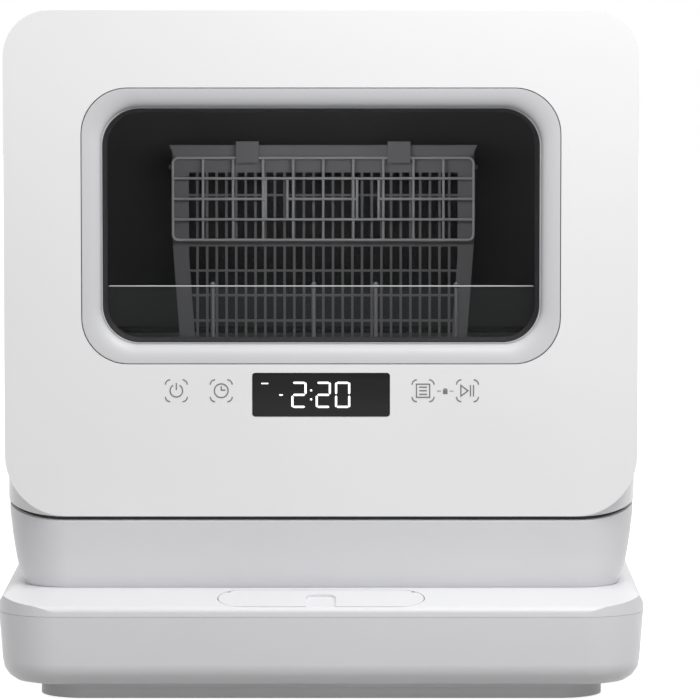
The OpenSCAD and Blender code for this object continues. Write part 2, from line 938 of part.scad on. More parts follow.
module drain_impeller() {
    color("lightgray")
        pump_wheel(1, 14, wash_x, drain_wide, 24);
}

module drain_motor() {
    color("dimgray")
        pump_motor(1, pump_r - motor_thin, wash_x + drain_wide, drain_motor_l);
}

heater_y = sump_y - 80;
heater_r = 16;
heater_l = 120;
heater_x1 = -wash_x / 2;
hose_r = 8;

module flow_heater() {
    x0 = heater_x1 - heater_l;
    x1 = heater_x1;
    color("silver") {
        tube_x(x0, x1, heater_r, heater_y, pump_z - 2);
        tube_x(x0 - 6, x0, heater_r - 6, heater_y, pump_z - 2);
        for (x = [x0 + 10, x1 - 22])
            block(x, x + 12, heater_y - 6, heater_y + 6, base_floor_z, pump_z - 10);
    }
}

module circulation_hoses() {
    color("black") {
        difference() {
            tube_y(heater_y + 4, sump_y - 18, hose_r, -wash_x - wash_wide / 2, pump_z - 2);
            tube_x(-200, 0, heater_r + 0.02, heater_y, pump_z - 2);
            tube_x(-200, 0, pump_r + 0.02, sump_y, pump_z);
        }
        difference() {
            tube_y(heater_y + 4, sump_y - 30, hose_r, -38, pump_z + 8);
            tube_x(-200, 0, heater_r + 0.02, heater_y, pump_z - 2);
            tube_z(0, 100, sump_r + 0.02, 0, sump_y);
        }
    }
}

module drain_hose() {
    color("black")
        difference() {
            tube_y(sump_y + 10, recess_y - wall, hose_r, drain_x + 6, port_z);
            tube_x(0, 200, pump_r - 6 + 0.02, sump_y, pump_z);
        }
}

// Connections in the recess at the back of the base
module inlet_valve() {
    color("white") {
        block(inlet_x - 17, inlet_x + 17, recess_y - wall - 34, recess_y - wall, port_z - 17, port_z + 17);
        tube_z(port_z + 17, port_z + 24, 9, inlet_x, recess_y - 20);
    }
    color("dimgray")
        block(inlet_x - 15, inlet_x + 15, recess_y - wall - 50, recess_y - wall - 34, base_floor_z, port_z + 12);
}

module inlet_connector() {
    color("dimgray")
        difference() {
            union() {
                tube_y(recess_y, recess_y + 3, inlet_r + 3, inlet_x, port_z);
                tube_y(recess_y + 3, recess_y + 19, inlet_r, inlet_x, port_z);
            }
            tube_y(recess_y + 1, recess_y + 20, inlet_r - 4, inlet_x, port_z);
        }
}

module drain_spigot() {
    color("dimgray")
        difference() {
            union() {
                tube_y(recess_y, recess_y + 3, drain_r + 4, drain_x, port_z);
                tube_y(recess_y + 3, recess_y + 21, drain_r, drain_x, port_z);
            }
            tube_y(recess_y + 1, recess_y + 22, drain_r - 3, drain_x, port_z);
        }
}

module cord_gland() {
    color("black")
        difference() {
            union() {
                tube_y(recess_y, recess_y + 4, gland_r + 3, 0, port_z);
                tube_y(recess_y + 4, recess_y + 16, gland_r - 2, 0, port_z);
            }
            tube_y(recess_y + 1, recess_y + 17, 4, 0, port_z);
        }
}

module vent_grille() {
    color("lightgray")
        difference() {
            block(fan_x - fan_s / 2, fan_x + fan_s / 2, base_back_y - wall, base_back_y,
                vent_z0, vent_z1);
            for (i = [-3 : 3])
                block(fan_x + i * 6 - 1.6, fan_x + i * 6 + 1.6, base_back_y - wall - 1, base_back_y + 1,
                    vent_z0 + 3, vent_z1 - 3);
        }
}

fan_d = 16;
fan_y1 = base_back_y - wall - 2;

module fan_housing() {
    color("dimgray") {
        block(fan_x - 15, fan_x + 15, fan_y1 - fan_d, fan_y1 - fan_d + 2.5, base_floor_z, fan_z - fan_s / 2);
        difference() {
            block(fan_x - fan_s / 2, fan_x + fan_s / 2, fan_y1 - fan_d, fan_y1, fan_z - fan_s / 2, fan_z + fan_s / 2);
            tube_y(fan_y1 - fan_d + 2, fan_y1 + 1, fan_r + 0.8, fan_x, fan_z);
            difference() {
                tube_y(fan_y1 - fan_d - 1, fan_y1 - fan_d + 3, fan_r, fan_x, fan_z);
                tube_y(fan_y1 - fan_d - 2, fan_y1 - fan_d + 4, 9, fan_x, fan_z);
                for (a = [0, 90])
                    translate([fan_x, fan_y1 - fan_d + 1, fan_z])
                        rotate([0, a + 45, 0])
                            cube([2 * fan_r + 4, 6, 3], center = true);
            }
            tube_y(fan_y1 - fan_d - 1, fan_y1 - fan_d + 3, 2 + bore_gap, fan_x, fan_z);
        }
    }
}

module fan_rotor() {
    y0 = fan_y1 - fan_d + 3.2;
    color("black") {
        tube_y(y0, fan_y1 - 2, 7, fan_x, fan_z);
        tube_y(fan_y1 - fan_d + 0.4, y0, 2, fan_x, fan_z);
        for (a = [0 : 360 / 7 : 359])
            translate([fan_x, (y0 + fan_y1 - 2) / 2, fan_z])
                rotate([0, a, 0])
                    translate([fan_r / 2 + 3, 0, 0])
                        rotate([35, 0, 0])
                            cube([fan_r - 6, 1.2, 10], center = true);
    }
}

// Size of the main board, its place from the base's side and back, and its pillars' place from its corners
main_w = 64;
main_d = 120;
main_side = 24;
main_back = 67;
pillar_in = 5;

module main_board() {
    x0 = base_hw - main_side - main_w;
    y0 = base_back_y - main_back - main_d;
    z0 = base_floor_z + 6;
    z1 = z0 + board_t;
    color("seagreen")
        block(x0, x0 + main_w, y0, y0 + main_d, z0, z1);
    color("silver")
        for (x = [pillar_in, main_w - pillar_in], y = [pillar_in, main_d - pillar_in])
            tube_z(base_floor_z, z0, 3, x0 + x, y0 + y);
    color("dimgray") {
        block(x0 + 7, x0 + 37, y0 + 15, y0 + 45, z1, z1 + 22);
        block(x0 + 44, x0 + 58, y0 + 20, y0 + 60, z1, z1 + 12);
        block(x0 + 12, x0 + 52, y0 + 75, y0 + 95, z1, z1 + 6);
    }
}

// Water tank behind the front of the base, filled through the funnel under the flap
neck_y = base_front_y + 22;
neck_w = 60;
neck_d = 16;

module tank_form(t) {
    x = base_hw - tank_in - t;
    prism_z(rounded(-x, base_front_y + tank_in + t, x, tank_back_y - t, 30 - t, 6 - t), base_floor_z + 5 + t, tank_top_z - t);
}

module water_tank() {
    color("lightsteelblue")
        difference() {
            tank_form(0);
            tank_form(2);
            block(-neck_w / 2, neck_w / 2, neck_y - neck_d / 2, neck_y + neck_d / 2, tank_top_z - 3, tank_top_z + 1);
        }
    color("lightsteelblue")
        for (x = [-120, 0, 120])
            tube_z(base_floor_z, base_floor_z + 5, 6, x, base_front_y + 60);
}

module fill_funnel() {
    color("lightgray")
        difference() {
            intersection() {
                on_slope()
                    prism_z(pill(funnel_mid, flap_w - 6, funnel_l), -20, -flap_t - run_gap);
                block(-big, big, -big, big, tank_top_z, big);
            }
            on_slope()
                prism_z(pill(funnel_mid, flap_w - 6 - 2 * funnel_t, funnel_l - 2 * funnel_t), -funnel_deep, 0);
            block(-neck_w / 2 + 2, neck_w / 2 - 2, neck_y - neck_d / 2 + 2, neck_y + neck_d / 2 - 2,
                tank_top_z - 1, tank_top_z + 20);
        }
}

flap_axis_v = flap_mid + flap_l / 2 - flap_axis_in;
pin_x0 = flap_w / 2 - flap_l / 2 + sqrt(pow(flap_l / 2, 2) - pow(flap_l / 2 - flap_axis_in, 2)) - 6;

module fill_flap() {
    color("white")
        on_slope()
            difference() {
                prism_z(pill(flap_mid, flap_w, flap_l), -flap_t, 0);
                prism_z(concat(arc(notch_w / 2 - 5, flap_mid + 2, 5, 0, 90), arc(-notch_w / 2 + 5, flap_mid + 2, 5, 90, 180),
                    [[-notch_w / 2, -10], [notch_w / 2, -10]]), -flap_t + 1.2, 1);
                pair() {
                    tube_x(pin_x0, pin_x0 + 20, flap_pin_r + bore_gap, flap_axis_v, -flap_axis_deep);
                    block(pin_x0 + 4.1, flap_w, flap_axis_v - 1.6, flap_axis_v + flap_l, -flap_t - 1, 1);
                }
            }
}

module flap_pins() {
    color("silver")
        on_slope()
            pair()
                tube_x(pin_x0 + 0.5, pin_x0 + 0.5 + flap_pin_l, flap_pin_r, flap_axis_v, -flap_axis_deep);
}

// Base; its sides and front lean in by the given amount and its back stays upright
function base_plan(inset, lean = 0) = rounded(-base_hw + inset + lean, base_front_y + inset + lean,
    base_hw - inset - lean, base_back_y - inset, plan_front_r - inset - lean, plan_rear_r - inset);

module base_form(t) {
    loft(concat(
        [for (a = [0, 22.5, 45, 67.5, 90])
            ring(base_plan(t + base_fillet * (1 - sin(a)), base_lean), plinth_top + t + base_fillet * (1 - cos(a)))],
        [ring(base_plan(t), seam_z + t)]));
}

module plinth_form(grow, z0, z1) {
    prism_z(rounded(-plinth_w / 2 - grow, plinth_front_y - grow, plinth_w / 2 + grow, plinth_back_y + grow, 30, 20), z0, z1);
}

module plinth_hole() {
    prism_z(rounded(-plinth_w / 2 + 40, plinth_front_y + 40, plinth_w / 2 - 40, plinth_back_y - 40, 20, 20),
        -1, plinth_top);
}

module base_shell() {
    color("white")
        difference() {
            union() {
                base_form(0);
                plinth_form(skirt_out, plinth_top - skirt_h, plinth_top + 0.5);
            }
            plinth_hole();
            difference() {
                base_form(wall);
                block(-recess_w / 2 - wall, recess_w / 2 + wall, recess_y - wall, big, 0, big);
            }
            block(-recess_w / 2, recess_w / 2, recess_y, big, 16, recess_top_z - wall);
            block(fan_x - fan_s / 2 - seat_gap, fan_x + fan_s / 2 + seat_gap, base_back_y - wall - 1, big,
                vent_z0 - seat_gap, vent_z1 + seat_gap);
        }
}

// The cover's form: plan, front view and side view cut together, drawn in by t
module cover_form(t, z0) {
    edge_r = 5 - t;
    intersection() {
        prism_z(base_plan(t), z0, cover_top_z - t);
        prism_y(rounded(-base_hw + t, z0 - 30, base_hw - t, cover_top_z - t, 0, cover_side_r - t), -big, big);
        prism_x(concat([[base_front_y + t, 0]],
            arc(base_front_y + 5, cover_front_z - 5 + 5 * tan(slope_angle), edge_r > 0.5 ? edge_r : 0.5, 180, 90 + slope_angle, 6),
            [[base_front_y + slope_run, cover_top_z - t], [base_back_y - t, cover_top_z - t], [base_back_y - t, 0]]),
            2 * big);
    }
}

module base_cover() {
    color("white")
        difference() {
            cover_form(0, seam_z + 0.2);
            cover_form(wall, seam_z - 5);
            tube_z(cover_top_z - wall - 1, cover_top_z + 1, sump_r + 6, 0, sump_y);
            on_slope()
                prism_z(pill(flap_mid, flap_w + 2 * flap_gap, flap_l + 2 * flap_gap), -12, 6);
            on_slope()
                pair()
                    tube_x(pin_x0, pin_x0 + 1 + flap_pin_l, flap_pin_r + 0.02, flap_axis_v, -flap_axis_deep);
        }
}

plinth_front_y = base_front_y + plinth_back;
plinth_back_y = base_back_y - plinth_back;
foot_h = 1;

module foot_plinth() {
    color("darkgray")
        difference() {
            plinth_form(0, foot_h, plinth_top - skirt_h);
            plinth_hole();
            for (x = [-1, 1], y = [plinth_front_y + 22, plinth_back_y - 22])
                tube_z(0, foot_h + 4, 12.2, x * (plinth_w / 2 - 22), y);
        }
}

module rubber_feet() {
    color("black")
        for (x = [-1, 1], y = [plinth_front_y + 22, plinth_back_y - 22])
            tube_z(0, foot_h + 4, 12, x * (plinth_w / 2 - 22), y);
}

panel_hw = 150;
panel_z0 = 96;
panel_z1 = 204;

module back_panel() {
    color("gainsboro")
        difference() {
            prism_y(rounded(-panel_hw, panel_z0, panel_hw, panel_z1, 8, 8), hood_back_y, hood_back_y + 1.5);
            for (x = [-1, 0, 1], z = [panel_z0 + 9, panel_z1 - 9])
                tube_y(hood_back_y - 1, hood_back_y + 2, 2, x * (panel_hw - 10), z);
            for (i = [-6 : 6])
                block(i * 10 - 2, i * 10 + 2, hood_back_y - 1, hood_back_y + 2, panel_z1 - 50, panel_z1 - 26);
        }
}

module panel_screws() {
    color("silver")
        for (x = [-1, 0, 1], z = [panel_z0 + 9, panel_z1 - 9]) {
            tube_y(hood_back_y, hood_back_y + 1.5, 1.8, x * (panel_hw - 10), z);
            tube_y(hood_back_y + 1.5, hood_back_y + 3, 3.6, x * (panel_hw - 10), z);
        }
}

// Rack
rack_hw = rack_w / 2;
rack_foot_hw = rack_hw - rack_taper;
side_lean = atan(rack_taper / (rack_knee_z - rack_floor_z));

// The back wall's outline, drawn in at its sides
function wall_points(inset) = [[-rack_foot_hw + inset, rack_floor_z - rack_t],
    [rack_foot_hw - inset, rack_floor_z - rack_t],
    [rack_hw - inset, rack_knee_z], [rack_hw - inset, rack_top_z], [-rack_hw + inset, rack_top_z],
    [-rack_hw + inset, rack_knee_z]];

// A flat plate with rows of upright slots, drawn in the XZ plane
module back_wall_outline() {
    difference() {
        polygon(wall_points(0));
        intersection() {
            polygon(wall_points(rack_band));
            for (z = slot_rows, i = [-14 : 13])
                translate([i * slot_pitch + 0.9, z[0]])
                    square([slot_pitch - 1.8, z[1] - z[0]]);
        }
    }
}

module side_wall_outline() {
    z0 = rack_floor_z + rack_lip + 0.02;
    difference() {
        polygon([[rack_front_y, z0], [rack_back_y, z0], [rack_back_y, rack_front_z], [rack_front_y, rack_front_z]]);
        for (j = [0 : 9])
            translate([rack_front_y + 11 + j * 18.5, rack_floor_z + 10])
                square([12, rack_front_z - rack_floor_z - 18]);
    }
}

// The rack's floor, a grid of bars
module dish_rack() {
    color("dimgray")
        difference() {
            block(-rack_foot_hw, rack_foot_hw, rack_front_y - rack_t, rack_back_y,
                rack_floor_z - rack_t, rack_floor_z + rack_lip);
            for (i = [-5 : 5], j = [0 : 6])
                block(i * grid_x - 7, i * grid_x + 7, rack_front_y + 10 + j * grid_y, rack_front_y + 32 + j * grid_y,
                    rack_floor_z - 10, rack_floor_z + 10);
        }
}

module rack_feet() {
    color("dimgray")
        for (x = [-1, 1], y = [rack_front_y, rack_back_y - 6])
            block(x * (rack_foot_hw - 3) - 3, x * (rack_foot_hw - 3) + 3, y, y + 6,
                tub_floor_z + run_gap, rack_floor_z - rack_t);
}

module rack_front() {
    color("dimgray")
        difference() {
            block(-rack_foot_hw, rack_foot_hw, rack_front_y - rack_t, rack_front_y,
                rack_floor_z + rack_lip, rack_front_z);
            for (i = [-6 : 5])
                block(i * 16 + 2, i * 16 + 14, rack_front_y - 5, rack_front_y + 5, rack_floor_z + 10, rack_front_z - 8);
        }
}

module rack_sides() {
    color("dimgray")
        pair()
            translate([rack_foot_hw, 0, rack_floor_z])
                rotate([0, side_lean, 0])
                    translate([-rack_t, 0, -rack_floor_z])
                        rotate([90, 0, 90])
                            linear_extrude(height = rack_t)
                                side_wall_outline();
}

module rack_back_wall() {
    color("dimgray") {
        translate([0, rack_back_y + rack_t, 0])
            rotate([90, 0, 0])
                linear_extrude(height = rack_t)
                    back_wall_outline();
        prism_y([[-rack_hw - 2, rack_top_z], [-rack_hw + 2, rack_top_z - rail_h], [rack_hw - 2, rack_top_z - rail_h],
            [rack_hw + 2, rack_top_z]], rack_back_y - 4, rack_back_y);
        pair()
            tube_x(rack_hw - 1, rack_hw + 2.5, 1.8, rack_back_y + rack_t / 2, rack_pin_z);
    }
}

// Plates stand between these, on the floor's cross bars
module rack_tines() {
    row_hw = rack_foot_hw - tine_in;
    color("dimgray")
        for (i = [0 : tines - 1], j = [4, 5])
            tube_z(rack_floor_z + rack_lip, rack_floor_z + tine_h, tine_r, -row_hw + i * 2 * row_hw / (tines - 1),
                rack_front_y + 7.5 + j * grid_y);
}

module cup_shelf() {
    step = 2 * shelf_hw / (shelf_bars - 1);
    cut_x = [[-41.5, -25.9], [24.4, 40]];
    low = shelf_top_z - 4 * shelf_pitch;
    y = shelf_y;
    color("gray") {
        for (i = [0, 1, 3, 4])
            tube_x(-shelf_hw, shelf_hw, wire_r, y, shelf_top_z - i * shelf_pitch);
        for (s = [[-shelf_hw, cut_x[0][0]], [cut_x[0][1], cut_x[1][0]], [cut_x[1][1], shelf_hw]])
            tube_x(s[0], s[1], wire_r, y, shelf_top_z - 2 * shelf_pitch);
        for (i = [0 : shelf_bars - 1])
            tube_z(low - wire_r, shelf_top_z, wire_r, -shelf_hw + i * step, y);
        for (c = cut_x, x = c)
            tube_z(shelf_top_z - 3 * shelf_pitch, shelf_top_z - shelf_pitch, wire_r, x, y);
    }
}

module shelf_clips() {
    color("dimgray")
        difference() {
            for (s = [-1, 1])
                block(s * clip_x - clip_w / 2, s * clip_x + clip_w / 2, shelf_y - 3, rack_back_y - 4,
                    shelf_top_z - 3.5, rack_top_z + 3);
            tube_x(-big / 2, big / 2, wire_r + bore_gap + 0.05, shelf_y, shelf_top_z);
        }
}

basket_w = min(cutlery_w, 2 * (rack_foot_hw - rack_t - 2.3 - basket_x));
basket_x0 = basket_x - basket_w / 2;

module cutlery_basket() {
    rows = 2;
    row_h = (cutlery_top_z - basket_floor_z - 8) / rows;
    color("gray")
        difference() {
            block(basket_x0 - basket_t / 2, basket_x0 + basket_w + basket_t / 2, basket_y, basket_y + basket_d,
                basket_floor_z, cutlery_top_z);
            for (k = [0 : 2]) {
                block(basket_x0 + basket_w * posts[k] + basket_t / 2, basket_x0 + basket_w * posts[k + 1] - basket_t / 2,
                    basket_y + basket_t, basket_y + basket_d - basket_t, basket_floor_z + basket_t, cutlery_top_z + 1);
                a = basket_x0 + basket_w * posts[k] + 4;
                b = basket_x0 + basket_w * posts[k + 1] - 4;
                n = floor((b - a) / 9);
                for (j = [0 : rows - 1], i = [0 : n - 1])
                    block(a + (b - a) * i / n + 1.2, a + (b - a) * (i + 1) / n - 1.2, -big, big,
                        basket_floor_z + 8 + j * row_h, basket_floor_z + 2 + (j + 1) * row_h);
            }
        }
}

// Posts with a bead near the top, on the basket's front wall
module basket_posts() {
    color("gray")
        for (f = posts) {
            tube_z(cutlery_top_z, post_top_z, 1.5, basket_x0 + basket_w * f, basket_y + basket_t / 2);
            tube_z(post_top_z - 4, post_top_z - 1.5, 2.1, basket_x0 + basket_w * f, basket_y + basket_t / 2);
        }
}

hood_shell();
window_bezel();
window_glass();
window_seal();
hood_liner();
display_lens();
display_digits();
key_icons();
display_module();
control_board();
touch_pads();
hinge_arms();
latch_striker();
hinge_pins();
hinge_brackets();
hinge_dampers();
hood_lock();
lower_housing();
wash_tub();
hood_gasket();
splash_guard();
sump();
filter_plate();
filter_basket();
spray_hub();
spray_arm();
spray_cap();
wash_pump();
wash_impeller();
wash_motor();
drain_pump();
drain_impeller();
drain_motor();
flow_heater();
circulation_hoses();
drain_hose();
inlet_valve();
inlet_connector();
drain_spigot();
cord_gland();
vent_grille();
fan_housing();
fan_rotor();
main_board();
water_tank();
fill_funnel();
fill_flap();
flap_pins();
base_shell();
base_cover();
foot_plinth();
rubber_feet();
back_panel();
panel_screws();
dish_rack();
rack_feet();
rack_front();
rack_sides();
rack_back_wall();
rack_tines();
cup_shelf();
shelf_clips();
cutlery_basket();
basket_posts();
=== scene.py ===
"""Countertop dishwasher: the looks of every visible piece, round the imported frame.

Metres, in the frame's own axes: X to the right, Y to the back, Z up, the front facing -Y.
"""
import json
import math

import bmesh
import bpy
import numpy as np
from bpy.props import FloatProperty, StringProperty
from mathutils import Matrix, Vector


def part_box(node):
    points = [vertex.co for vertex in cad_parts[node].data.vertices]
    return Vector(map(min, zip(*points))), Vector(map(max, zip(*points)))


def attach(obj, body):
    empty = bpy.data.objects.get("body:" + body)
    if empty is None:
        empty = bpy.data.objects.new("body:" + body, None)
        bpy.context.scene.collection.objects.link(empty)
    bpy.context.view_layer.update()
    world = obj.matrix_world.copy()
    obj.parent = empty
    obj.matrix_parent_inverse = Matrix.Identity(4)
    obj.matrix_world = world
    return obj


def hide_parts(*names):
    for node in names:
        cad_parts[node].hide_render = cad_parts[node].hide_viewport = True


bl_info = {
    "name": "Countertop dishwasher",
    "version": (1, 0, 0),
    "blender": (4, 5, 0),
    "location": "View3D > Sidebar > Dishwasher",
    "description": "Builds the dressed pieces of a countertop dishwasher round its frame",
    "category": "Object",
}

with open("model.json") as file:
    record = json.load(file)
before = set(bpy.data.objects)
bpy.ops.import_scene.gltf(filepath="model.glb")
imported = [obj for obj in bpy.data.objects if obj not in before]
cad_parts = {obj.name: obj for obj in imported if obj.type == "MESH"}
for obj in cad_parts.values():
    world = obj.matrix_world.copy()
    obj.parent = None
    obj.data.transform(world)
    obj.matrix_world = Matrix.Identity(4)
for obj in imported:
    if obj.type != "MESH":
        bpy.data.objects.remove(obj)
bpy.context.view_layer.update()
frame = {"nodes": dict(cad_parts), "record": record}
NODES = frame["nodes"]
BODY_OF = {n: b for b, names in frame["record"]["behaviour"]["bodies"].items() for n in names}
MM = 0.001


# Colours and materials

def linear(text):
    """An sRGB hex colour as linear red, green, blue and alpha."""
    parts = [int(text[i:i + 2], 16) / 255 for i in (1, 3, 5)]
    return [p / 12.92 if p <= 0.04045 else ((p + 0.055) / 1.055) ** 2.4 for p in parts] + [1.0]


def add(tree, kind, links=None, **settings):
    """Adds a node; links maps a socket's name or number to a value or to another node's output."""
    made = tree.nodes.new(kind)
    for key, value in settings.items():
        setattr(made, key, value)
    for key, value in (links or {}).items():
        socket = made.inputs[key]
        if isinstance(value, bpy.types.NodeSocket):
            tree.links.new(value, socket)
        else:
            socket.default_value = value
    return made


def blank(name):
    """A new material with its shader, its output and an Object coordinate."""
    material = bpy.data.materials.new(name)
    material.use_nodes = True
    tree = material.node_tree
    tree.nodes.clear()
    shader = add(tree, "ShaderNodeBsdfPrincipled")
    add(tree, "ShaderNodeOutputMaterial", {"Surface": shader.outputs["BSDF"]})
    where = add(tree, "ShaderNodeTexCoord").outputs["Object"]
    return material, tree, shader, where


def moulded(name, colour, shade, rough, grain_mm, bump, coat=0.0, spread=0.06, specular=0.5):
    """Moulded plastic or rubber: slow drifts of colour and gloss, and a fine grain from the mould.

    colour and shade are the two ends of the drift. grain_mm is the spacing of the grain, and bump its depth in
    millimetres.
    """
    material, tree, shader, where = blank(name)
    drift = add(tree, "ShaderNodeTexNoise", {"Vector": where, "Scale": 1 / 0.11, "Detail": 2.0})
    blend = add(tree, "ShaderNodeMix", {"Factor": drift.outputs["Fac"]}, data_type="RGBA")
    blend.inputs["A"].default_value = linear(shade)
    blend.inputs["B"].default_value = linear(colour)
    tree.links.new(blend.outputs["Result"], shader.inputs["Base Color"])
    patch = add(tree, "ShaderNodeTexNoise", {"Vector": where, "Scale": 1 / 0.03, "Detail": 3.0})
    gloss = add(tree, "ShaderNodeMapRange", {"Value": patch.outputs["Fac"], "From Min": 0.3, "From Max": 0.7,
                                             "To Min": rough - spread / 2, "To Max": rough + spread / 2})
    tree.links.new(gloss.outputs["Result"], shader.inputs["Roughness"])
    grain = add(tree, "ShaderNodeTexNoise", {"Vector": where, "Scale": 1 / (grain_mm * MM), "Detail": 2.0})
    relief = add(tree, "ShaderNodeBump", {"Strength": 0.5, "Distance": bump * MM, "Height": grain.outputs["Fac"]})
    tree.links.new(relief.outputs["Normal"], shader.inputs["Normal"])
    shader.inputs["IOR"].default_value = 1.5
    shader.inputs["Specular IOR Level"].default_value = specular
    shader.inputs["Coat Weight"].default_value = coat
    shader.inputs["Coat Roughness"].default_value = 0.12
    return material


def brushed(name, colour, shade, rough, stretch, line_mm=0.5, metallic=1.0):
    """Brushed or rolled metal: fine lines, long along one axis, that vary its gloss and its tone.

    stretch holds how much shorter the pattern is along x, y and z; the axis with a small value is the brushing's.
    """
    material, tree, shader, where = blank(name)
    scale = add(tree, "ShaderNodeMapping", {"Vector": where, "Scale": Vector(stretch)})
    lines = add(tree, "ShaderNodeTexNoise", {"Vector": scale.outputs["Vector"], "Scale": 1 / (line_mm * MM),
                                             "Detail": 3.0})
    blend = add(tree, "ShaderNodeMix", {"Factor": lines.outputs["Fac"]}, data_type="RGBA")
    blend.inputs["A"].default_value = linear(shade)
    blend.inputs["B"].default_value = linear(colour)
    tree.links.new(blend.outputs["Result"], shader.inputs["Base Color"])
    gloss = add(tree, "ShaderNodeMapRange", {"Value": lines.outputs["Fac"], "From Min": 0.3, "From Max": 0.7,
                                             "To Min": rough - 0.06, "To Max": rough + 0.06})
    tree.links.new(gloss.outputs["Result"], shader.inputs["Roughness"])
    relief = add(tree, "ShaderNodeBump", {"Strength": 0.4, "Distance": 0.02 * MM, "Height": lines.outputs["Fac"]})
    tree.links.new(relief.outputs["Normal"], shader.inputs["Normal"])
    shader.inputs["Metallic"].default_value = metallic
    return material


def pane(name, colour, alpha, rough, ior=1.5, specular=0.5, painted_highlight_z=None, painted_highlight_alpha=0.8):
    """A glass or clear plastic pane. Streaks of cleaning show as slow changes of gloss.

    Towards and above a given height, its sawn top edge turns nearly solid in the pane's pale colour. This is a
    painted highlight for the light that the edge gathers.
    """
    material, tree, shader, where = blank(name)
    shader.inputs["Base Color"].default_value = linear(colour)
    streak = add(tree, "ShaderNodeTexNoise", {"Vector": where, "Scale": 1 / 0.05, "Detail": 2.0})
    gloss = add(tree, "ShaderNodeMapRange", {"Value": streak.outputs["Fac"], "To Min": rough, "To Max": rough + 0.03})
    tree.links.new(gloss.outputs["Result"], shader.inputs["Roughness"])
    shader.inputs["IOR"].default_value = ior
    shader.inputs["Specular IOR Level"].default_value = specular
    shader.inputs["Alpha"].default_value = alpha
    # Painted highlight: towards the top edge the alpha rises, so a thin band shows pale and nearly solid
    if painted_highlight_z is not None:
        height = add(tree, "ShaderNodeSeparateXYZ", {"Vector": where})
        edge = add(tree, "ShaderNodeMapRange", {"Value": height.outputs["Z"], "From Min": painted_highlight_z - 0.0006,
                                                "From Max": painted_highlight_z, "To Min": alpha, "To Max": painted_highlight_alpha})
        tree.links.new(edge.outputs["Result"], shader.inputs["Alpha"])
    material.surface_render_method = "BLENDED"
    return material


def lit(name, colour, strength):
    """A lit display segment: a diffuser over a light-emitting chip, a little brighter in places."""
    material, tree, shader, where = blank(name)
    shader.inputs["Base Color"].default_value = linear(colour)
    shader.inputs["Roughness"].default_value = 0.4
    glow = add(tree, "ShaderNodeTexNoise", {"Vector": where, "Scale": 1 / 0.004})
    blend = add(tree, "ShaderNodeMix", {"Factor": glow.outputs["Fac"]}, data_type="RGBA")
    blend.inputs["A"].default_value = linear("#dfe6ea")
    blend.inputs["B"].default_value = linear(colour)
    tree.links.new(blend.outputs["Result"], shader.inputs["Emission Color"])
    shader.inputs["Emission Strength"].default_value = strength
    return material


def board(name):
    """Glass-fibre circuit board: green solder mask over copper tracks that show as a faint pattern."""
    material, tree, shader, where = blank(name)
    tracks = add(tree, "ShaderNodeTexBrick", {"Vector": where, "Scale": 1 / 0.012, "Mortar Size": 0.06,
                                              "Color1": linear("#0c4a2c"), "Color2": linear("#0f5533"),
                                              "Mortar": linear("#2c7a4c")})
    tree.links.new(tracks.outputs["Color"], shader.inputs["Base Color"])
    shader.inputs["Roughness"].default_value = 0.35
    return material


MATERIALS = {}


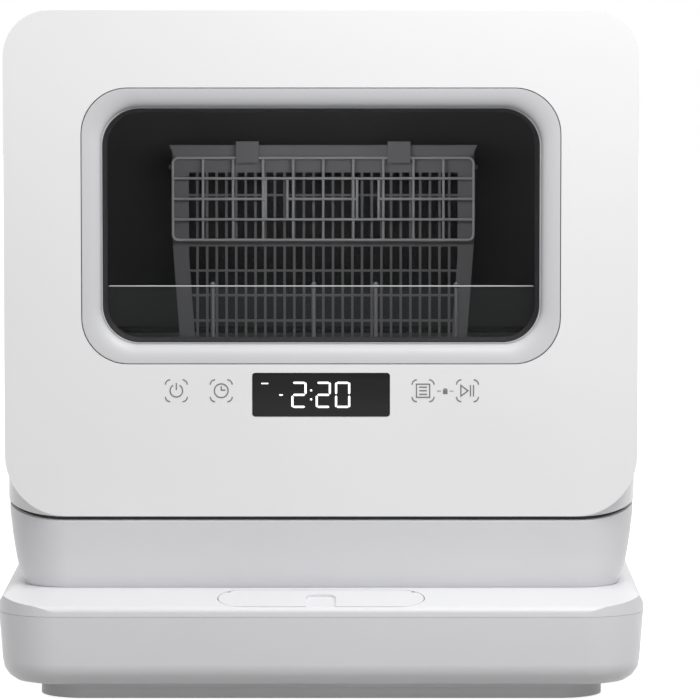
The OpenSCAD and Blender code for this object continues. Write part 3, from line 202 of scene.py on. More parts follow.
def make_materials(looks):
    """Every finish on the machine, keyed by a short name."""
    white = looks.hood_white
    return {
        # Satin injection-moulded ABS: an even white with a soft gloss and a barely visible grain
        "hood_abs": moulded("Satin white ABS, hood", white, "#f1f1f2", 0.33, 0.9, 0.004, coat=0.15),
        "body_abs": moulded("Satin white ABS, body", looks.body_white, "#dfdfe2", 0.38, 0.9, 0.004),
        "base_abs": moulded("Satin white ABS, base", looks.base_white, "#e5e5e7", 0.38, 0.9, 0.004),
        # Painted ABS frame: a little greyer and flatter than the hood
        "bezel_abs": moulded("Satin grey ABS, bezel", "#d6d6d8", "#cfcfd1", 0.42, 0.7, 0.004),
        # Smoked tempered glass: dark by its tint, polished, so it mirrors the room weakly
        "smoked_glass": pane("Smoked tempered glass", "#0b0b0c", looks.smoke, 0.04, 1.52, 0.12),
        # Clear polycarbonate sheet. Its top edge is drawn pale and nearly solid: a painted highlight of its bright
        # sawn edge
        "clear_sheet": pane("Clear polycarbonate", "#e8ecee", 0.012, 0.1, 1.58, 0.05,
                            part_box("splash_guard")[1].z - 0.0004),
        # Moulded EPDM rubber: near black, matt, with a soft bloom
        "rubber": moulded("Black EPDM rubber", "#161616", "#0e0e0e", 0.62, 0.5, 0.02, spread=0.1),
        "feet_rubber": moulded("Grey EPDM rubber, feet", "#2a2a2b", "#222223", 0.7, 0.6, 0.03, spread=0.1),
        # Soft window seal: charcoal, matt
        "window_rubber": moulded("Charcoal EPDM rubber, window", "#2e2e30", "#272729", 0.6, 0.5, 0.01),
        # Textured polypropylene: grey, matt and slightly waxy
        "liner_pp": moulded("Dark grey polypropylene, liner", "#4a4a4c", "#424244", 0.5, 0.8, 0.01),
        "rack_pp": moulded("Grey polypropylene, rack", "#8a8a8d", "#808083", 0.42, 0.7, 0.008),
        "basket_pp": moulded("Grey polypropylene, basket", "#8c8c8f", "#808083", 0.42, 0.7, 0.008),
        "plinth_pp": moulded("Grey polypropylene, plinth", "#e6e6e7", "#dededf", 0.5, 0.9, 0.015),
        "sump_pp": moulded("Dark polypropylene, sump", "#4a4a4d", "#414144", 0.48, 0.8, 0.01),
        "arm_pp": moulded("Grey polypropylene, spray arm", "#77777a", "#6c6c6f", 0.36, 0.8, 0.008),
        "tank_pp": moulded("Natural polypropylene, tank", "#dde0e2", "#d0d4d7", 0.4, 1.2, 0.01),
        # Nylon-coated steel wire: thick, glossy and slightly uneven
        "coated_wire": moulded("Nylon-coated wire", "#dcdce0", "#d0d0d4", 0.3, 1.5, 0.03, coat=0.3),
        # Glass-filled nylon: black or grey with a dry, fibrous skin
        "black_nylon": moulded("Black glass-filled nylon", "#1d1d1e", "#151516", 0.5, 0.5, 0.012),
        "grey_nylon": moulded("Grey glass-filled nylon", "#69696b", "#5e5e60", 0.48, 0.5, 0.012),
        # Screen print on the hood: thin, matt, mid grey
        "print_ink": moulded("Grey screen print", "#7d7d7f", "#747476", 0.6, 0.3, 0.001),
        # Cast acrylic display lens: deep black and mirror smooth
        "lens_acrylic": moulded("Black acrylic lens", "#0b0b0c", "#080809", 0.08, 4.0, 0.001, spread=0.03,
                                specular=0.22),
        "led": lit("White lit segment", "#ffffff", 1.0),
        "circuit": board("Green circuit board"),
        # Deep-drawn stainless sheet, brushed along its width
        "tub_steel": brushed("Brushed stainless tub", "#7c7d7e", "#6a6b6c", 0.38, (0.04, 1, 1)),
        # Bright zinc-plated steel, rolled
        "zinc_steel": brushed("Zinc-plated steel", "#c4c6c8", "#adb0b3", 0.34, (1, 1, 0.08), 0.3),
        # Powder-coated sheet: white, with the fine orange peel of the baked powder
        "powder_coat": moulded("White powder coat", "#dedfe0", "#d6d7d8", 0.45, 1.4, 0.03),
        "motor_can": brushed("Painted motor can", "#4a4c4f", "#3e4043", 0.4, (1, 0.05, 1), 0.4, metallic=0.6),
    }


# Meshes

def ease(mesh, angle=32.0):
    """Smooth shading that stays crisp across edges sharper than the angle."""
    mesh.shade_smooth()
    mesh.set_sharp_from_angle(angle=math.radians(angle))


def settle(name, mesh, node_names, material):
    """Puts a finished mesh in the scene for the given nodes: their body and a material."""
    piece = bpy.data.objects.new(name, mesh)
    bpy.context.scene.collection.objects.link(piece)
    mesh.materials.clear()
    mesh.materials.append(MATERIALS[material])
    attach(piece, BODY_OF[node_names[0]])
    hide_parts(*node_names)
    return piece


def bevelled(piece, width_mm, segments=3, angle=28.0):
    """A small radius on every edge that turns by more than the angle, with flat faces kept flat."""
    if width_mm <= 0:
        return piece
    edge = piece.modifiers.new("Moulded edge", "BEVEL")
    edge.width = width_mm * MM
    edge.segments = segments
    edge.limit_method = "ANGLE"
    edge.angle_limit = math.radians(angle)
    edge.use_clamp_overlap = True
    edge.miter_outer = "MITER_ARC"
    normals = piece.modifiers.new("Flat faces", "WEIGHTED_NORMAL")
    normals.keep_sharp = False
    normals.weight = 60
    return piece


def rounded_copy(node, material, width_mm=0.0, segments=2, angle=28.0, whole=True):
    """A node's own solid with its loose triangles merged and its edges rounded.

    whole makes its flat faces whole; a plate full of slots keeps its triangles.
    """
    shape = bmesh.new()
    shape.from_mesh(NODES[node].data)
    bmesh.ops.remove_doubles(shape, verts=shape.verts, dist=2e-6)
    if whole:
        bmesh.ops.dissolve_limit(shape, angle_limit=math.radians(0.4), verts=shape.verts, edges=shape.edges)
    mesh = bpy.data.meshes.new(node + "_moulded")
    shape.to_mesh(mesh)
    shape.free()
    ease(mesh)
    piece = settle(node + "_moulded", mesh, [node], material)
    return bevelled(piece, width_mm, segments, angle)


def dress(table):
    """Rounded copies of several nodes; each row holds a node, its material and its edge in millimetres."""
    for node, material, edge in table:
        rounded_copy(node, material, edge)


def patch(points, close_rows=False, close_columns=False, caps=False):
    """Quads over a grid of points.

    Rows and columns may close on themselves, and caps fill the first and last column.
    """
    rows, columns = points.shape[:2]
    i = np.arange(rows if close_rows else rows - 1)[:, None]
    j = np.arange(columns if close_columns else columns - 1)[None]
    i1, j1 = (i + 1) % rows, (j + 1) % columns
    quads = np.stack([i * columns + j, i * columns + j1, i1 * columns + j1, i1 * columns + j], axis=-1).reshape(-1, 4)
    faces = quads.tolist()
    if caps:
        faces += [(np.arange(rows) * columns).tolist(), (np.arange(rows) * columns + columns - 1).tolist()]
    return points.reshape(-1, 3), faces


def joined(name, patches, angle=32.0):
    """One mesh from several closed patches, welded at their poles, with all faces turned outwards."""
    start, points, faces = 0, [], []
    for part_points, part_faces in patches:
        points.append(part_points)
        faces += [[start + k for k in face] for face in part_faces]
        start += len(part_points)
    mesh = bpy.data.meshes.new(name)
    mesh.from_pydata(np.concatenate(points).tolist(), [], faces)
    shape = bmesh.new()
    shape.from_mesh(mesh)
    bmesh.ops.remove_doubles(shape, verts=shape.verts, dist=1e-6)
    bmesh.ops.dissolve_degenerate(shape, dist=1e-7, edges=shape.edges)
    bmesh.ops.recalc_face_normals(shape, faces=shape.faces)
    shape.to_mesh(mesh)
    shape.free()
    ease(mesh, angle)
    return mesh


def rounded_loop(x0, x1, z0, z1, radius, corner=20):
    """An upright rounded rectangle: four corner arcs of equally many points, joined by the straight sides."""
    angle = np.radians(np.arange(4)[:, None] * 90 + np.linspace(0, 90, corner + 1)[None])
    cx = np.array([x1 - radius, x0 + radius, x0 + radius, x1 - radius])[:, None]
    cz = np.array([z1 - radius, z1 - radius, z0 + radius, z0 + radius])[:, None]
    return np.stack([(cx + radius * np.cos(angle)).ravel(), (cz + radius * np.sin(angle)).ravel()], axis=1)


def loop_of(node, radius_mm, inset_mm=0.0):
    """The rounded rectangle that a node fills in the front view, drawn in by an inset."""
    low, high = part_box(node)
    inset = inset_mm * MM
    return rounded_loop(low.x + inset, high.x - inset, low.z + inset, high.z - inset, radius_mm * MM)


def carried(outer, inner, profile):
    """A profile carried round a loop.

    Each profile point holds its share of the way from the outer loop to the inner one, and its y.
    """
    share = profile[:, 0][None, :, None]
    flat = outer[:, None] + share * (inner - outer)[:, None]
    y = np.broadcast_to(profile[:, 1], flat.shape[:2])
    return np.stack([flat[..., 0], y, flat[..., 1]], axis=-1)


def slab(outer, inner, y0, y1, radius, steps=5):
    """A plate whose front and back edges are quarter circles of the radius; outer and inner lie that far apart."""
    turn = np.linspace(0, np.pi / 2, steps + 1)
    front = np.stack([1 - np.sin(turn), y0 + radius * (1 - np.cos(turn))], axis=1)
    back = np.stack([1 - np.sin(turn), y1 - radius * (1 - np.cos(turn))], axis=1)[::-1]
    return patch(carried(outer, inner, np.concatenate([front, back])), close_rows=True, caps=True)


def turned(profile, centre, axis="Z", sides=48, hollow=False):
    """A profile of radius and height, turned round an axis through the centre.

    A radius of 0 closes its ends; a hollow one closes on itself instead, as a sleeve does.
    """
    angle = np.linspace(0, 2 * np.pi, sides, endpoint=False)[:, None]
    radius, height = profile[:, 0][None], profile[:, 1][None] + 0 * angle
    across, along = radius * np.cos(angle), radius * np.sin(angle)
    order = {"X": (height, across, along), "Y": (across, height, along), "Z": (across, along, height)}[axis]
    return patch(np.stack(order, axis=-1) + np.array(centre), close_rows=True, close_columns=hollow)


def wire(path, radius, closed=False, sides=10):
    """A round wire along a path in an upright plane: rings set square to the path's own direction."""
    if closed:
        step = np.roll(path, -1, axis=0) - np.roll(path, 1, axis=0)
    else:
        step = np.gradient(path, axis=0)
    along = step / np.linalg.norm(step, axis=1, keepdims=True)
    side = np.cross(along, (0.0, 1.0, 0.0))
    turn = np.linspace(0, 2 * np.pi, sides, endpoint=False)[:, None, None]
    rings = radius * (np.cos(turn) * side[None] + np.sin(turn) * np.array((0.0, 1.0, 0.0)))
    return patch(path[None] + rings, close_rows=True, close_columns=closed, caps=not closed)


def straight(a, b, radius, sides=10):
    """A straight wire whose two ends are slightly rounded over."""
    a, b = np.array(a, float), np.array(b, float)
    along = (b - a) / np.linalg.norm(b - a)
    side = np.cross(along, (0.0, 1.0, 0.0))
    turn = np.linspace(0, 2 * np.pi, sides, endpoint=False)[:, None, None]
    rim = np.array([0.0, 0.7, 1.0, 1.0, 0.7, 0.0])[None, :, None] * radius
    place = np.stack([a, a + along * 0.2 * radius, a + along * 0.7 * radius,
                      b - along * 0.7 * radius, b - along * 0.2 * radius, b])[None]
    return patch(place + rim * (np.cos(turn) * side + np.sin(turn) * np.array((0.0, 1.0, 0.0))), close_rows=True)


class Looks(bpy.types.PropertyGroup):
    """Colours, and the window's smoke, that a user would change."""

    hood_white: StringProperty(name="Hood white", description="sRGB colour of the hood", default="#f7f7f8")
    body_white: StringProperty(name="Body white", description="sRGB colour of the lower body", default="#e5e5e7")
    base_white: StringProperty(name="Base white", description="sRGB colour of the base", default="#e9e9eb")
    smoke: FloatProperty(name="Smoke", description="How much light each face of the window holds back", default=0.05,
                         min=0.0, max=0.6, subtype="FACTOR")


class Details(bpy.types.PropertyGroup):
    """Sizes of the drawn details."""

    digit_height: FloatProperty(name="Digit height", description="Height of a digit", default=0.0175, unit="LENGTH")
    digit_stroke: FloatProperty(name="Digit stroke", description="Width of a lit segment", default=0.0014,
                                unit="LENGTH")
    shelf_wire: FloatProperty(name="Shelf wire", description="Radius of the cup shelf's wires", default=0.001,
                              unit="LENGTH")
    shelf_pitch: FloatProperty(name="Shelf spacing", description="Spacing of the cup shelf's long wires",
                               default=0.0148, unit="LENGTH")


class View(bpy.types.PropertyGroup):
    """The camera."""

    distance: FloatProperty(name="Distance", description="From the hood's face to the camera", default=3.4,
                            unit="LENGTH")
    eye_height: FloatProperty(name="Eye height", description="Height of the camera", default=0.515, unit="LENGTH")
    eye_side: FloatProperty(name="Eye offset", description="Camera to the right of the middle", default=0.0193,
                            unit="LENGTH")
    aim_height: FloatProperty(name="Aim height", description="Height of the picture's middle at the hood's face",
                              default=0.234, unit="LENGTH")
    field: FloatProperty(name="Field width", description="Width that the picture covers at the hood's face",
                         default=0.4662, unit="LENGTH")


class DISHWASHER_OT_hood(bpy.types.Operator):
    """The hood's shell and its liner."""

    bl_idname = "dishwasher.hood"
    bl_label = "Hood"

    def execute(self, context):
        """Soft outer edges, as from a large mould."""
        rounded_copy("hood_shell", "hood_abs", 1.4, 4)
        rounded_copy("hood_liner", "liner_pp", 0.4)
        return {"FINISHED"}


class DISHWASHER_OT_window(bpy.types.Operator):
    """The window's bezel, its glass and its seal."""

    bl_idname = "dishwasher.window"
    bl_label = "Window"

    def execute(self, context):
        """The bezel's section is a quarter of an ellipse, flat at the hood's face and steep at the glass.

        A narrow groove and a rim follow at its foot. The seal grips the glass from behind.
        """
        face, back = (corner.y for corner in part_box("window_bezel"))
        outer = loop_of("window_bezel", 31)
        sight = loop_of("window_glass", 25, 4)
        deep = back - face
        reach = 0.925
        share = reach * np.sin(np.radians([8, 20, 32, 43, 53, 62, 70, 76, 81]))
        bulge = face + 0.0004 + deep * 0.8 * (1 - np.sqrt(1 - (share / reach) ** 2))
        rim = [(0.02, back), (0.02, face + 0.0012), (0.03, face + 0.0007), (0.05, face + 0.0004)]
        foot = [(reach, face + deep * 0.86), (reach + 0.004, back - 0.0001), (0.96, back - 0.0001),
                (0.964, face + deep * 0.9), (0.972, face + deep * 0.87), (0.988, face + deep * 0.87),
                (1.0, face + deep * 0.92), (1.0, back)]
        profile = np.concatenate([rim, np.stack([share, bulge], axis=1), foot])
        settle("window_bezel_frame", joined("window_bezel_frame", [
            patch(carried(outer, sight, profile), close_rows=True, close_columns=True)]),
            ["window_bezel"], "bezel_abs")
        low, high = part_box("window_glass")
        settle("window_pane", joined("window_pane", [
            slab(loop_of("window_glass", 29), loop_of("window_glass", 28.4, 0.6), low.y, high.y, 0.6 * MM)]),
            ["window_glass"], "smoked_glass")
        low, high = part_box("window_seal")
        lips = np.array([(0.02, low.y), (0.62, low.y), (0.66, low.y + 0.0004), (0.97, low.y + 0.0026),
                         (1.0, low.y + 0.0031), (1.0, high.y - 0.0008), (0.97, high.y), (0.02, high.y),
                         (0.0, high.y - 0.0004), (0.0, low.y + 0.0004)])
        ring = carried(loop_of("window_seal", 29), loop_of("window_seal", 22, 7.0), lips)
        settle("window_seal_ring", joined("window_seal_ring", [patch(ring, close_rows=True, close_columns=True)]),
               ["window_seal"], "window_rubber")
        return {"FINISHED"}


class DISHWASHER_OT_controls(bpy.types.Operator):
    """The display with its lit digits, the printed keys and what lies behind them."""

    bl_idname = "dishwasher.controls"
    bl_label = "Controls"

    def execute(self, context):
        """Each digit is made of flat bars with mitred ends, in the seven places of a segment display."""
        details = context.scene.dishwasher_details
        low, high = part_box("display_lens")
        settle("display_window", joined("display_window", [
            slab(loop_of("display_lens", 2.0), loop_of("display_lens", 1.5, 0.5), low.y, high.y, 0.5 * MM)]),
            ["display_lens"], "lens_acrylic")
        h, t = details.digit_height, details.digit_stroke
        w = h * 0.58
        middle = (low.z + high.z) / 2
        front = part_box("display_digits")[0].y
        # Each bar's centre, and whether it stands upright
        side, ends, quarter = w / 2 - t / 2, h / 2 - t / 2, h / 4
        centres = {"top": (0, ends, False), "middle": (0, 0, False), "bottom": (0, -ends, False),
                   "upper_left": (-side, quarter, True), "upper_right": (side, quarter, True),
                   "lower_left": (-side, -quarter, True), "lower_right": (side, -quarter, True)}
        two = ["top", "upper_right", "middle", "lower_left", "bottom"]
        zero = ["top", "upper_left", "upper_right", "lower_left", "lower_right", "bottom"]
        bars = []
        for x, names in ((-0.0147, two), (0.0015, two), (0.0144, zero)):
            for name in names:
                dx, dz, upright = centres[name]
                half = (h / 4 - t * 0.3) if upright else (w / 2 - t * 0.75)
                bar = np.array([(half, 0), (half - t / 2, t / 2), (-half + t / 2, t / 2), (-half, 0),
                                (-half + t / 2, -t / 2), (half - t / 2, -t / 2)])
                bar = bar[:, ::-1] if upright else bar
                bars.append(bar + np.array([x + dx, middle + dz]))
        # The colon's two dots and two short marks: centre, half width and half height
        dots = [(-0.0066, middle + 0.003, 0.0007, 0.0007), (-0.0066, middle - 0.003, 0.0007, 0.0007),
                (-0.0375, middle + 0.0076, 0.0024, 0.0004), (-0.0267, middle - 0.0001, 0.0012, 0.0005)]
        for x, z, hx, hz in dots:
            bars.append(rounded_loop(x - hx, x + hx, z - hz, z + hz, min(hx, hz) * 0.9, 4))
        depth = np.array([(0, front), (0, low.y + 0.00005)])
        plates = [patch(carried(bar, bar, depth), close_rows=True, caps=True) for bar in bars]
        settle("display_segments", joined("display_segments", plates), ["display_digits"], "led")
        dress([("key_icons", "print_ink", 0.0), ("display_module", "black_nylon", 0.3),
               ("control_board", "circuit", 0.1), ("touch_pads", "zinc_steel", 0.1)])
        return {"FINISHED"}


class DISHWASHER_OT_hinge_and_latch(bpy.types.Operator):
    """The hood's hinge at the back and its latch at the front."""

    bl_idname = "dishwasher.hinge_and_latch"
    bl_label = "Hinge and latch"

    def execute(self, context):
        """Pressed and drawn steel with lightly broken edges."""
        dress([("hinge_arms", "zinc_steel", 0.4), ("hinge_pins", "zinc_steel", 0.3),
               ("hinge_brackets", "zinc_steel", 0.3), ("hinge_dampers", "black_nylon", 0.4),
               ("latch_striker", "zinc_steel", 0.3), ("hood_lock", "black_nylon", 0.3)])
        return {"FINISHED"}


class DISHWASHER_OT_body(bpy.types.Operator):
    """The bowl-shaped body, its gasket, its back panel and the panel's screws."""

    bl_idname = "dishwasher.body"
    bl_label = "Body"

    def execute(self, context):
        """Each screw has a turned pan head with a round socket."""
        rounded_copy("lower_housing", "body_abs", 1.0, 3)
        rounded_copy("hood_gasket", "rubber", 0.5)
        rounded_copy("back_panel", "powder_coat", whole=False).data.shade_flat()
        low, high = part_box("panel_screws")
        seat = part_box("back_panel")[1].y
        r, shank = 3.6 * MM, 1.8 * MM
        head = np.array([(0.0, seat + 0.0002), (1.3 * MM, seat + 0.0002), (1.5 * MM, high.y - 0.0003),
                         (2.0 * MM, high.y), (3.0 * MM, high.y - 0.0003), (3.5 * MM, high.y - 0.0009),
                         (r, seat), (shank, seat), (shank, low.y), (0.0, low.y)])
        screws = [turned(head, (x, 0, z), "Y", 32)
                  for x in (low.x + r, 0.0, high.x - r) for z in (low.z + r, high.z - r)]
        settle("panel_screw_heads", joined("panel_screw_heads", screws), ["panel_screws"], "zinc_steel")
        return {"FINISHED"}


class DISHWASHER_OT_chamber(bpy.types.Operator):
    """The tub with its splash guard, sump and filter."""

    bl_idname = "dishwasher.chamber"
    bl_label = "Wash chamber"

    def execute(self, context):
        """The deep-drawn tub has soft edges; the plastic inserts have small ones."""
        dress([("wash_tub", "tub_steel", 0.5), ("splash_guard", "clear_sheet", 0.3), ("sump", "sump_pp", 0.4),
               ("filter_plate", "tub_steel", 0.2), ("filter_basket", "sump_pp", 0.2), ("spray_hub", "sump_pp", 0.3)])
        return {"FINISHED"}


class DISHWASHER_OT_spray_arm(bpy.types.Operator):
    """The spray arm with its ten jets, and the cap that holds it."""

    bl_idname = "dishwasher.spray_arm"
    bl_label = "Spray arm"

    def execute(self, context):
        """A blade's cross-section is a flattened oval that narrows to a round tip; jets are turned domes."""
        low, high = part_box("spray_arm")
        cx, cy, z0 = (low.x + high.x) / 2, (low.y + high.y) / 2, low.z
        arm_h, tip = 9 * MM, 10 * MM
        shank = (high.x - low.x) / 2 - tip
        u = np.concatenate([np.linspace(12 * MM, shank, 12), shank + tip * np.sin(np.linspace(0, np.pi / 2, 10)[1:])])
        wide = np.where(u <= shank, (15 - 5 * u / shank) * MM, np.sqrt(np.clip(tip ** 2 - (u - shank) ** 2, 0, None)))
        turn = np.linspace(0, 2 * np.pi, 36, endpoint=False)[:, None]

        def oval(wave):
            """A sine or cosine with its crest flattened."""
            return np.sign(wave) * np.abs(wave) ** 0.55

        pieces = []
        for side in (1, -1):
            x = u[None] * side + 0 * turn
            y = wide[None] * oval(np.cos(turn))
            z = arm_h / 2 * (1 + oval(np.sin(turn)) * np.clip(wide / tip, 0, 1)[None] ** 0.4)
            pieces.append(patch(np.stack([x + cx, y * side + cy, z + z0], axis=-1), close_rows=True, caps=True))
        # The hub's ring and a jet: radius and height in millimetres
        hub = np.array([(6.3, 0.0), (15.5, 0.0), (17.0, 1.0), (17.0, 10.0), (16.0, 12.2), (13.5, 13.0), (8.0, 13.0),
                        (6.3, 12.4)]) * MM
        pieces.append(turned(hub, (cx, cy, z0), "Z", 64, hollow=True))
        jet = np.array([(0.0, 8.6), (1.0, 8.6), (1.2, 10.0), (1.9, 10.2), (2.7, 9.8), (3.0, 9.2), (3.0, 7.0),
                        (0.0, 7.0)]) * MM
        for side in (1, -1):
            for i in range(5):
                off = 3 * MM * (1 if i % 2 == 0 else -1)
                pieces.append(turned(jet, (cx + side * (30 + 21 * i) * MM, cy + side * off, z0), "Z", 20))
        settle("spray_arm_blades", joined("spray_arm_blades", pieces, 40.0), ["spray_arm"], "arm_pp")
        cap_low, cap_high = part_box("spray_cap")
        r, h = (cap_high.x - cap_low.x) / 2, cap_high.z - cap_low.z
        grip = np.linspace(0, 2 * np.pi, 96, endpoint=False)[:, None]
        share = np.array([0.0, 0.3, 0.9, 1.0, 1.0, 0.95, 0.8, 0.4, 0.0])[None]
        height = np.array([0.0, 0.0, 0.0, 0.12, 0.7, 0.9, 1.0, 0.86, 0.84])[None] * h
        # Twelve finger flutes, each a twentieth of the radius deep
        radius = r * share * (1 - 0.05 * (np.cos(12 * grip) > 0) * (share > 0.9))
        knob = np.stack([cx + radius * np.cos(grip), cy + radius * np.sin(grip), cap_low.z + height + 0 * grip],
                        axis=-1)
        settle("spray_cap_knob", joined("spray_cap_knob", [patch(knob, close_rows=True)]), ["spray_cap"], "sump_pp")
        return {"FINISHED"}


class DISHWASHER_OT_base(bpy.types.Operator):
    """The base: shell, cover, plinth and its four feet."""

    bl_idname = "dishwasher.base"
    bl_label = "Base"

    def execute(self, context):
        """Each foot is a turned rubber puck with a rounded rim and a ring groove in its sole."""
        dress([("base_shell", "base_abs", 0.5), ("foot_plinth", "plinth_pp", 0.5)])
        rounded_copy("base_cover", "base_abs", 0.6, 3, 12.0)
        low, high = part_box("rubber_feet")
        r, h = 12 * MM, high.z - low.z
        sole = np.array([(0.0, 0.0004), (0.5 * r, 0.0004), (0.55 * r, 0.0), (0.62 * r, 0.0), (0.66 * r, 0.0006),
                         (0.72 * r, 0.0006), (0.76 * r, 0.0), (0.93 * r, 0.0), (0.98 * r, 0.0003), (r, 0.0008),
                         (r, h - 0.0004), (0.97 * r, h), (0.0, h)])
        feet = [turned(sole, (x, y, low.z), "Z", 40)
                for x in (low.x + r, high.x - r) for y in (low.y + r, high.y - r)]
        settle("feet_pucks", joined("feet_pucks", feet), ["rubber_feet"], "feet_rubber")
        return {"FINISHED"}


class DISHWASHER_OT_filling(bpy.types.Operator):
    """The fill flap with its pins, the funnel below it and the water tank."""

    bl_idname = "dishwasher.filling"
    bl_label = "Filling"

    def execute(self, context):
        """The flap has the base's finish."""
        dress([("fill_flap", "base_abs", 0.45), ("flap_pins", "zinc_steel", 0.1), ("fill_funnel", "tank_pp", 0.4),
               ("water_tank", "tank_pp", 0.8)])
        return {"FINISHED"}


class DISHWASHER_OT_rear(bpy.types.Operator):
    """The connections and the vent in the base's back."""

    bl_idname = "dishwasher.rear"
    bl_label = "Rear connections"

    def execute(self, context):
        """The inlet has a true screw thread, and the spigot has three barbs that hold a hose."""
        low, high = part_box("inlet_connector")
        centre = ((low.x + high.x) / 2, 0, (low.z + high.z) / 2)
        outer = (high.x - low.x) / 2
        root, bore = outer - 3 * MM, outer - 5 * MM
        seat = low.y + 3 * MM
        flange = np.array([(0.0, low.y), (outer - 0.0003, low.y), (outer, low.y + 0.0004), (outer, seat - 0.0004),
                           (outer - 0.0004, seat), (bore, seat), (0.0, seat)])
        lip = root - 1.6 * MM
        mouth = np.array([(root - 0.0042, seat), (lip, seat), (lip, high.y - 0.0003), (lip - 0.0004, high.y),
                          (root - 0.0038, high.y), (root - 0.0042, high.y - 0.0004)])
        angle = np.linspace(0, 2 * np.pi, 64, endpoint=False)[:, None]
        # The crest winds once round for each pitch and fades out at both ends
        y = np.linspace(seat, high.y - 0.0006, 80)[None]
        pitch, depth = 1.81 * MM, 1.1 * MM
        wave = np.abs(((y - low.y) / pitch - angle / (2 * np.pi)) % 1.0 - 0.5) * 2
        fade = np.clip(np.minimum(y - seat, high.y - 0.0006 - y) / pitch, 0, 1)
        crest = root - depth * (1 - wave * fade)
        inside = np.full_like(crest[:, :1], bore)
        radius = np.concatenate([inside, crest, inside], axis=1)
        run = np.concatenate([y[:, :1], y, y[:, -1:]], axis=1) + 0 * angle
        thread = np.stack([radius * np.cos(angle), run, radius * np.sin(angle)], axis=-1) + np.array(centre)
        settle("inlet_thread", joined("inlet_thread", [
            turned(flange, centre, "Y", 64), turned(mouth, centre, "Y", 64, hollow=True),
            patch(thread, close_rows=True, close_columns=True)]), ["inlet_connector"], "grey_nylon")
        low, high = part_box("drain_spigot")
        centre = ((low.x + high.x) / 2, 0, (low.z + high.z) / 2)
        outer = (high.x - low.x) / 2
        r, bore = outer - 4 * MM, outer - 7 * MM
        barbs = [(bore, low.y + 0.001), (r - 0.0005, low.y + 0.001)]
        for k in range(3):
            start = low.y + (6 + 5 * k) * MM
            barbs += [(r - 0.001, start), (r, start + 0.0002), (r - 0.001, start + 0.0048)]
        barbs += [(r - 0.0014, high.y), (r - 0.0026, high.y), (bore, high.y - 0.0005)]
        collar = np.array([(bore, low.y), (outer - 0.0004, low.y), (outer, low.y + 0.0004), (outer, low.y + 0.0026),
                           (outer - 0.0006, low.y + 0.003), (bore, low.y + 0.003)])
        settle("drain_barbs", joined("drain_barbs", [
            turned(profile, centre, "Y", 64, hollow=True) for profile in (np.array(barbs), collar)]),
            ["drain_spigot"], "grey_nylon")
        dress([("cord_gland", "rubber", 0.5), ("inlet_valve", "tank_pp", 0.5), ("vent_grille", "base_abs", 0.3)])
        return {"FINISHED"}


class DISHWASHER_OT_pumps(bpy.types.Operator):
    """Pumps, motors, heater, hoses, fan and main board inside the base."""

    bl_idname = "dishwasher.pumps"
    bl_label = "Pumps and electrics"

    def execute(self, context):
        """The hoses are corrugated: their radius rises and falls every 4 mm."""
        dress([("wash_pump", "black_nylon", 0.4), ("wash_impeller", "grey_nylon", 0.2),
               ("wash_motor", "motor_can", 0.6), ("drain_pump", "black_nylon", 0.4),
               ("drain_impeller", "grey_nylon", 0.2), ("drain_motor", "motor_can", 0.6),
               ("flow_heater", "zinc_steel", 0.5), ("circulation_hoses", "rubber", 0.0),
               ("fan_housing", "black_nylon", 0.3), ("fan_rotor", "black_nylon", 0.15),
               ("main_board", "circuit", 0.1)])
        low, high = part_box("drain_hose")
        r = (high.x - low.x) / 2
        rib_h, spacing = 0.5 * MM, 4 * MM
        y = np.linspace(low.y, high.y, 161)
        rib = r - rib_h + rib_h * np.cos(2 * np.pi * (y - low.y) / spacing)
        profile = np.concatenate([[(0.0, y[0])], np.stack([rib, y], axis=1), [(0.0, y[-1])]])
        settle("drain_hose_ribbed", joined("drain_hose_ribbed", [
            turned(profile, ((low.x + high.x) / 2, 0, (low.z + high.z) / 2), "Y", 32)]), ["drain_hose"], "rubber")
        return {"FINISHED"}


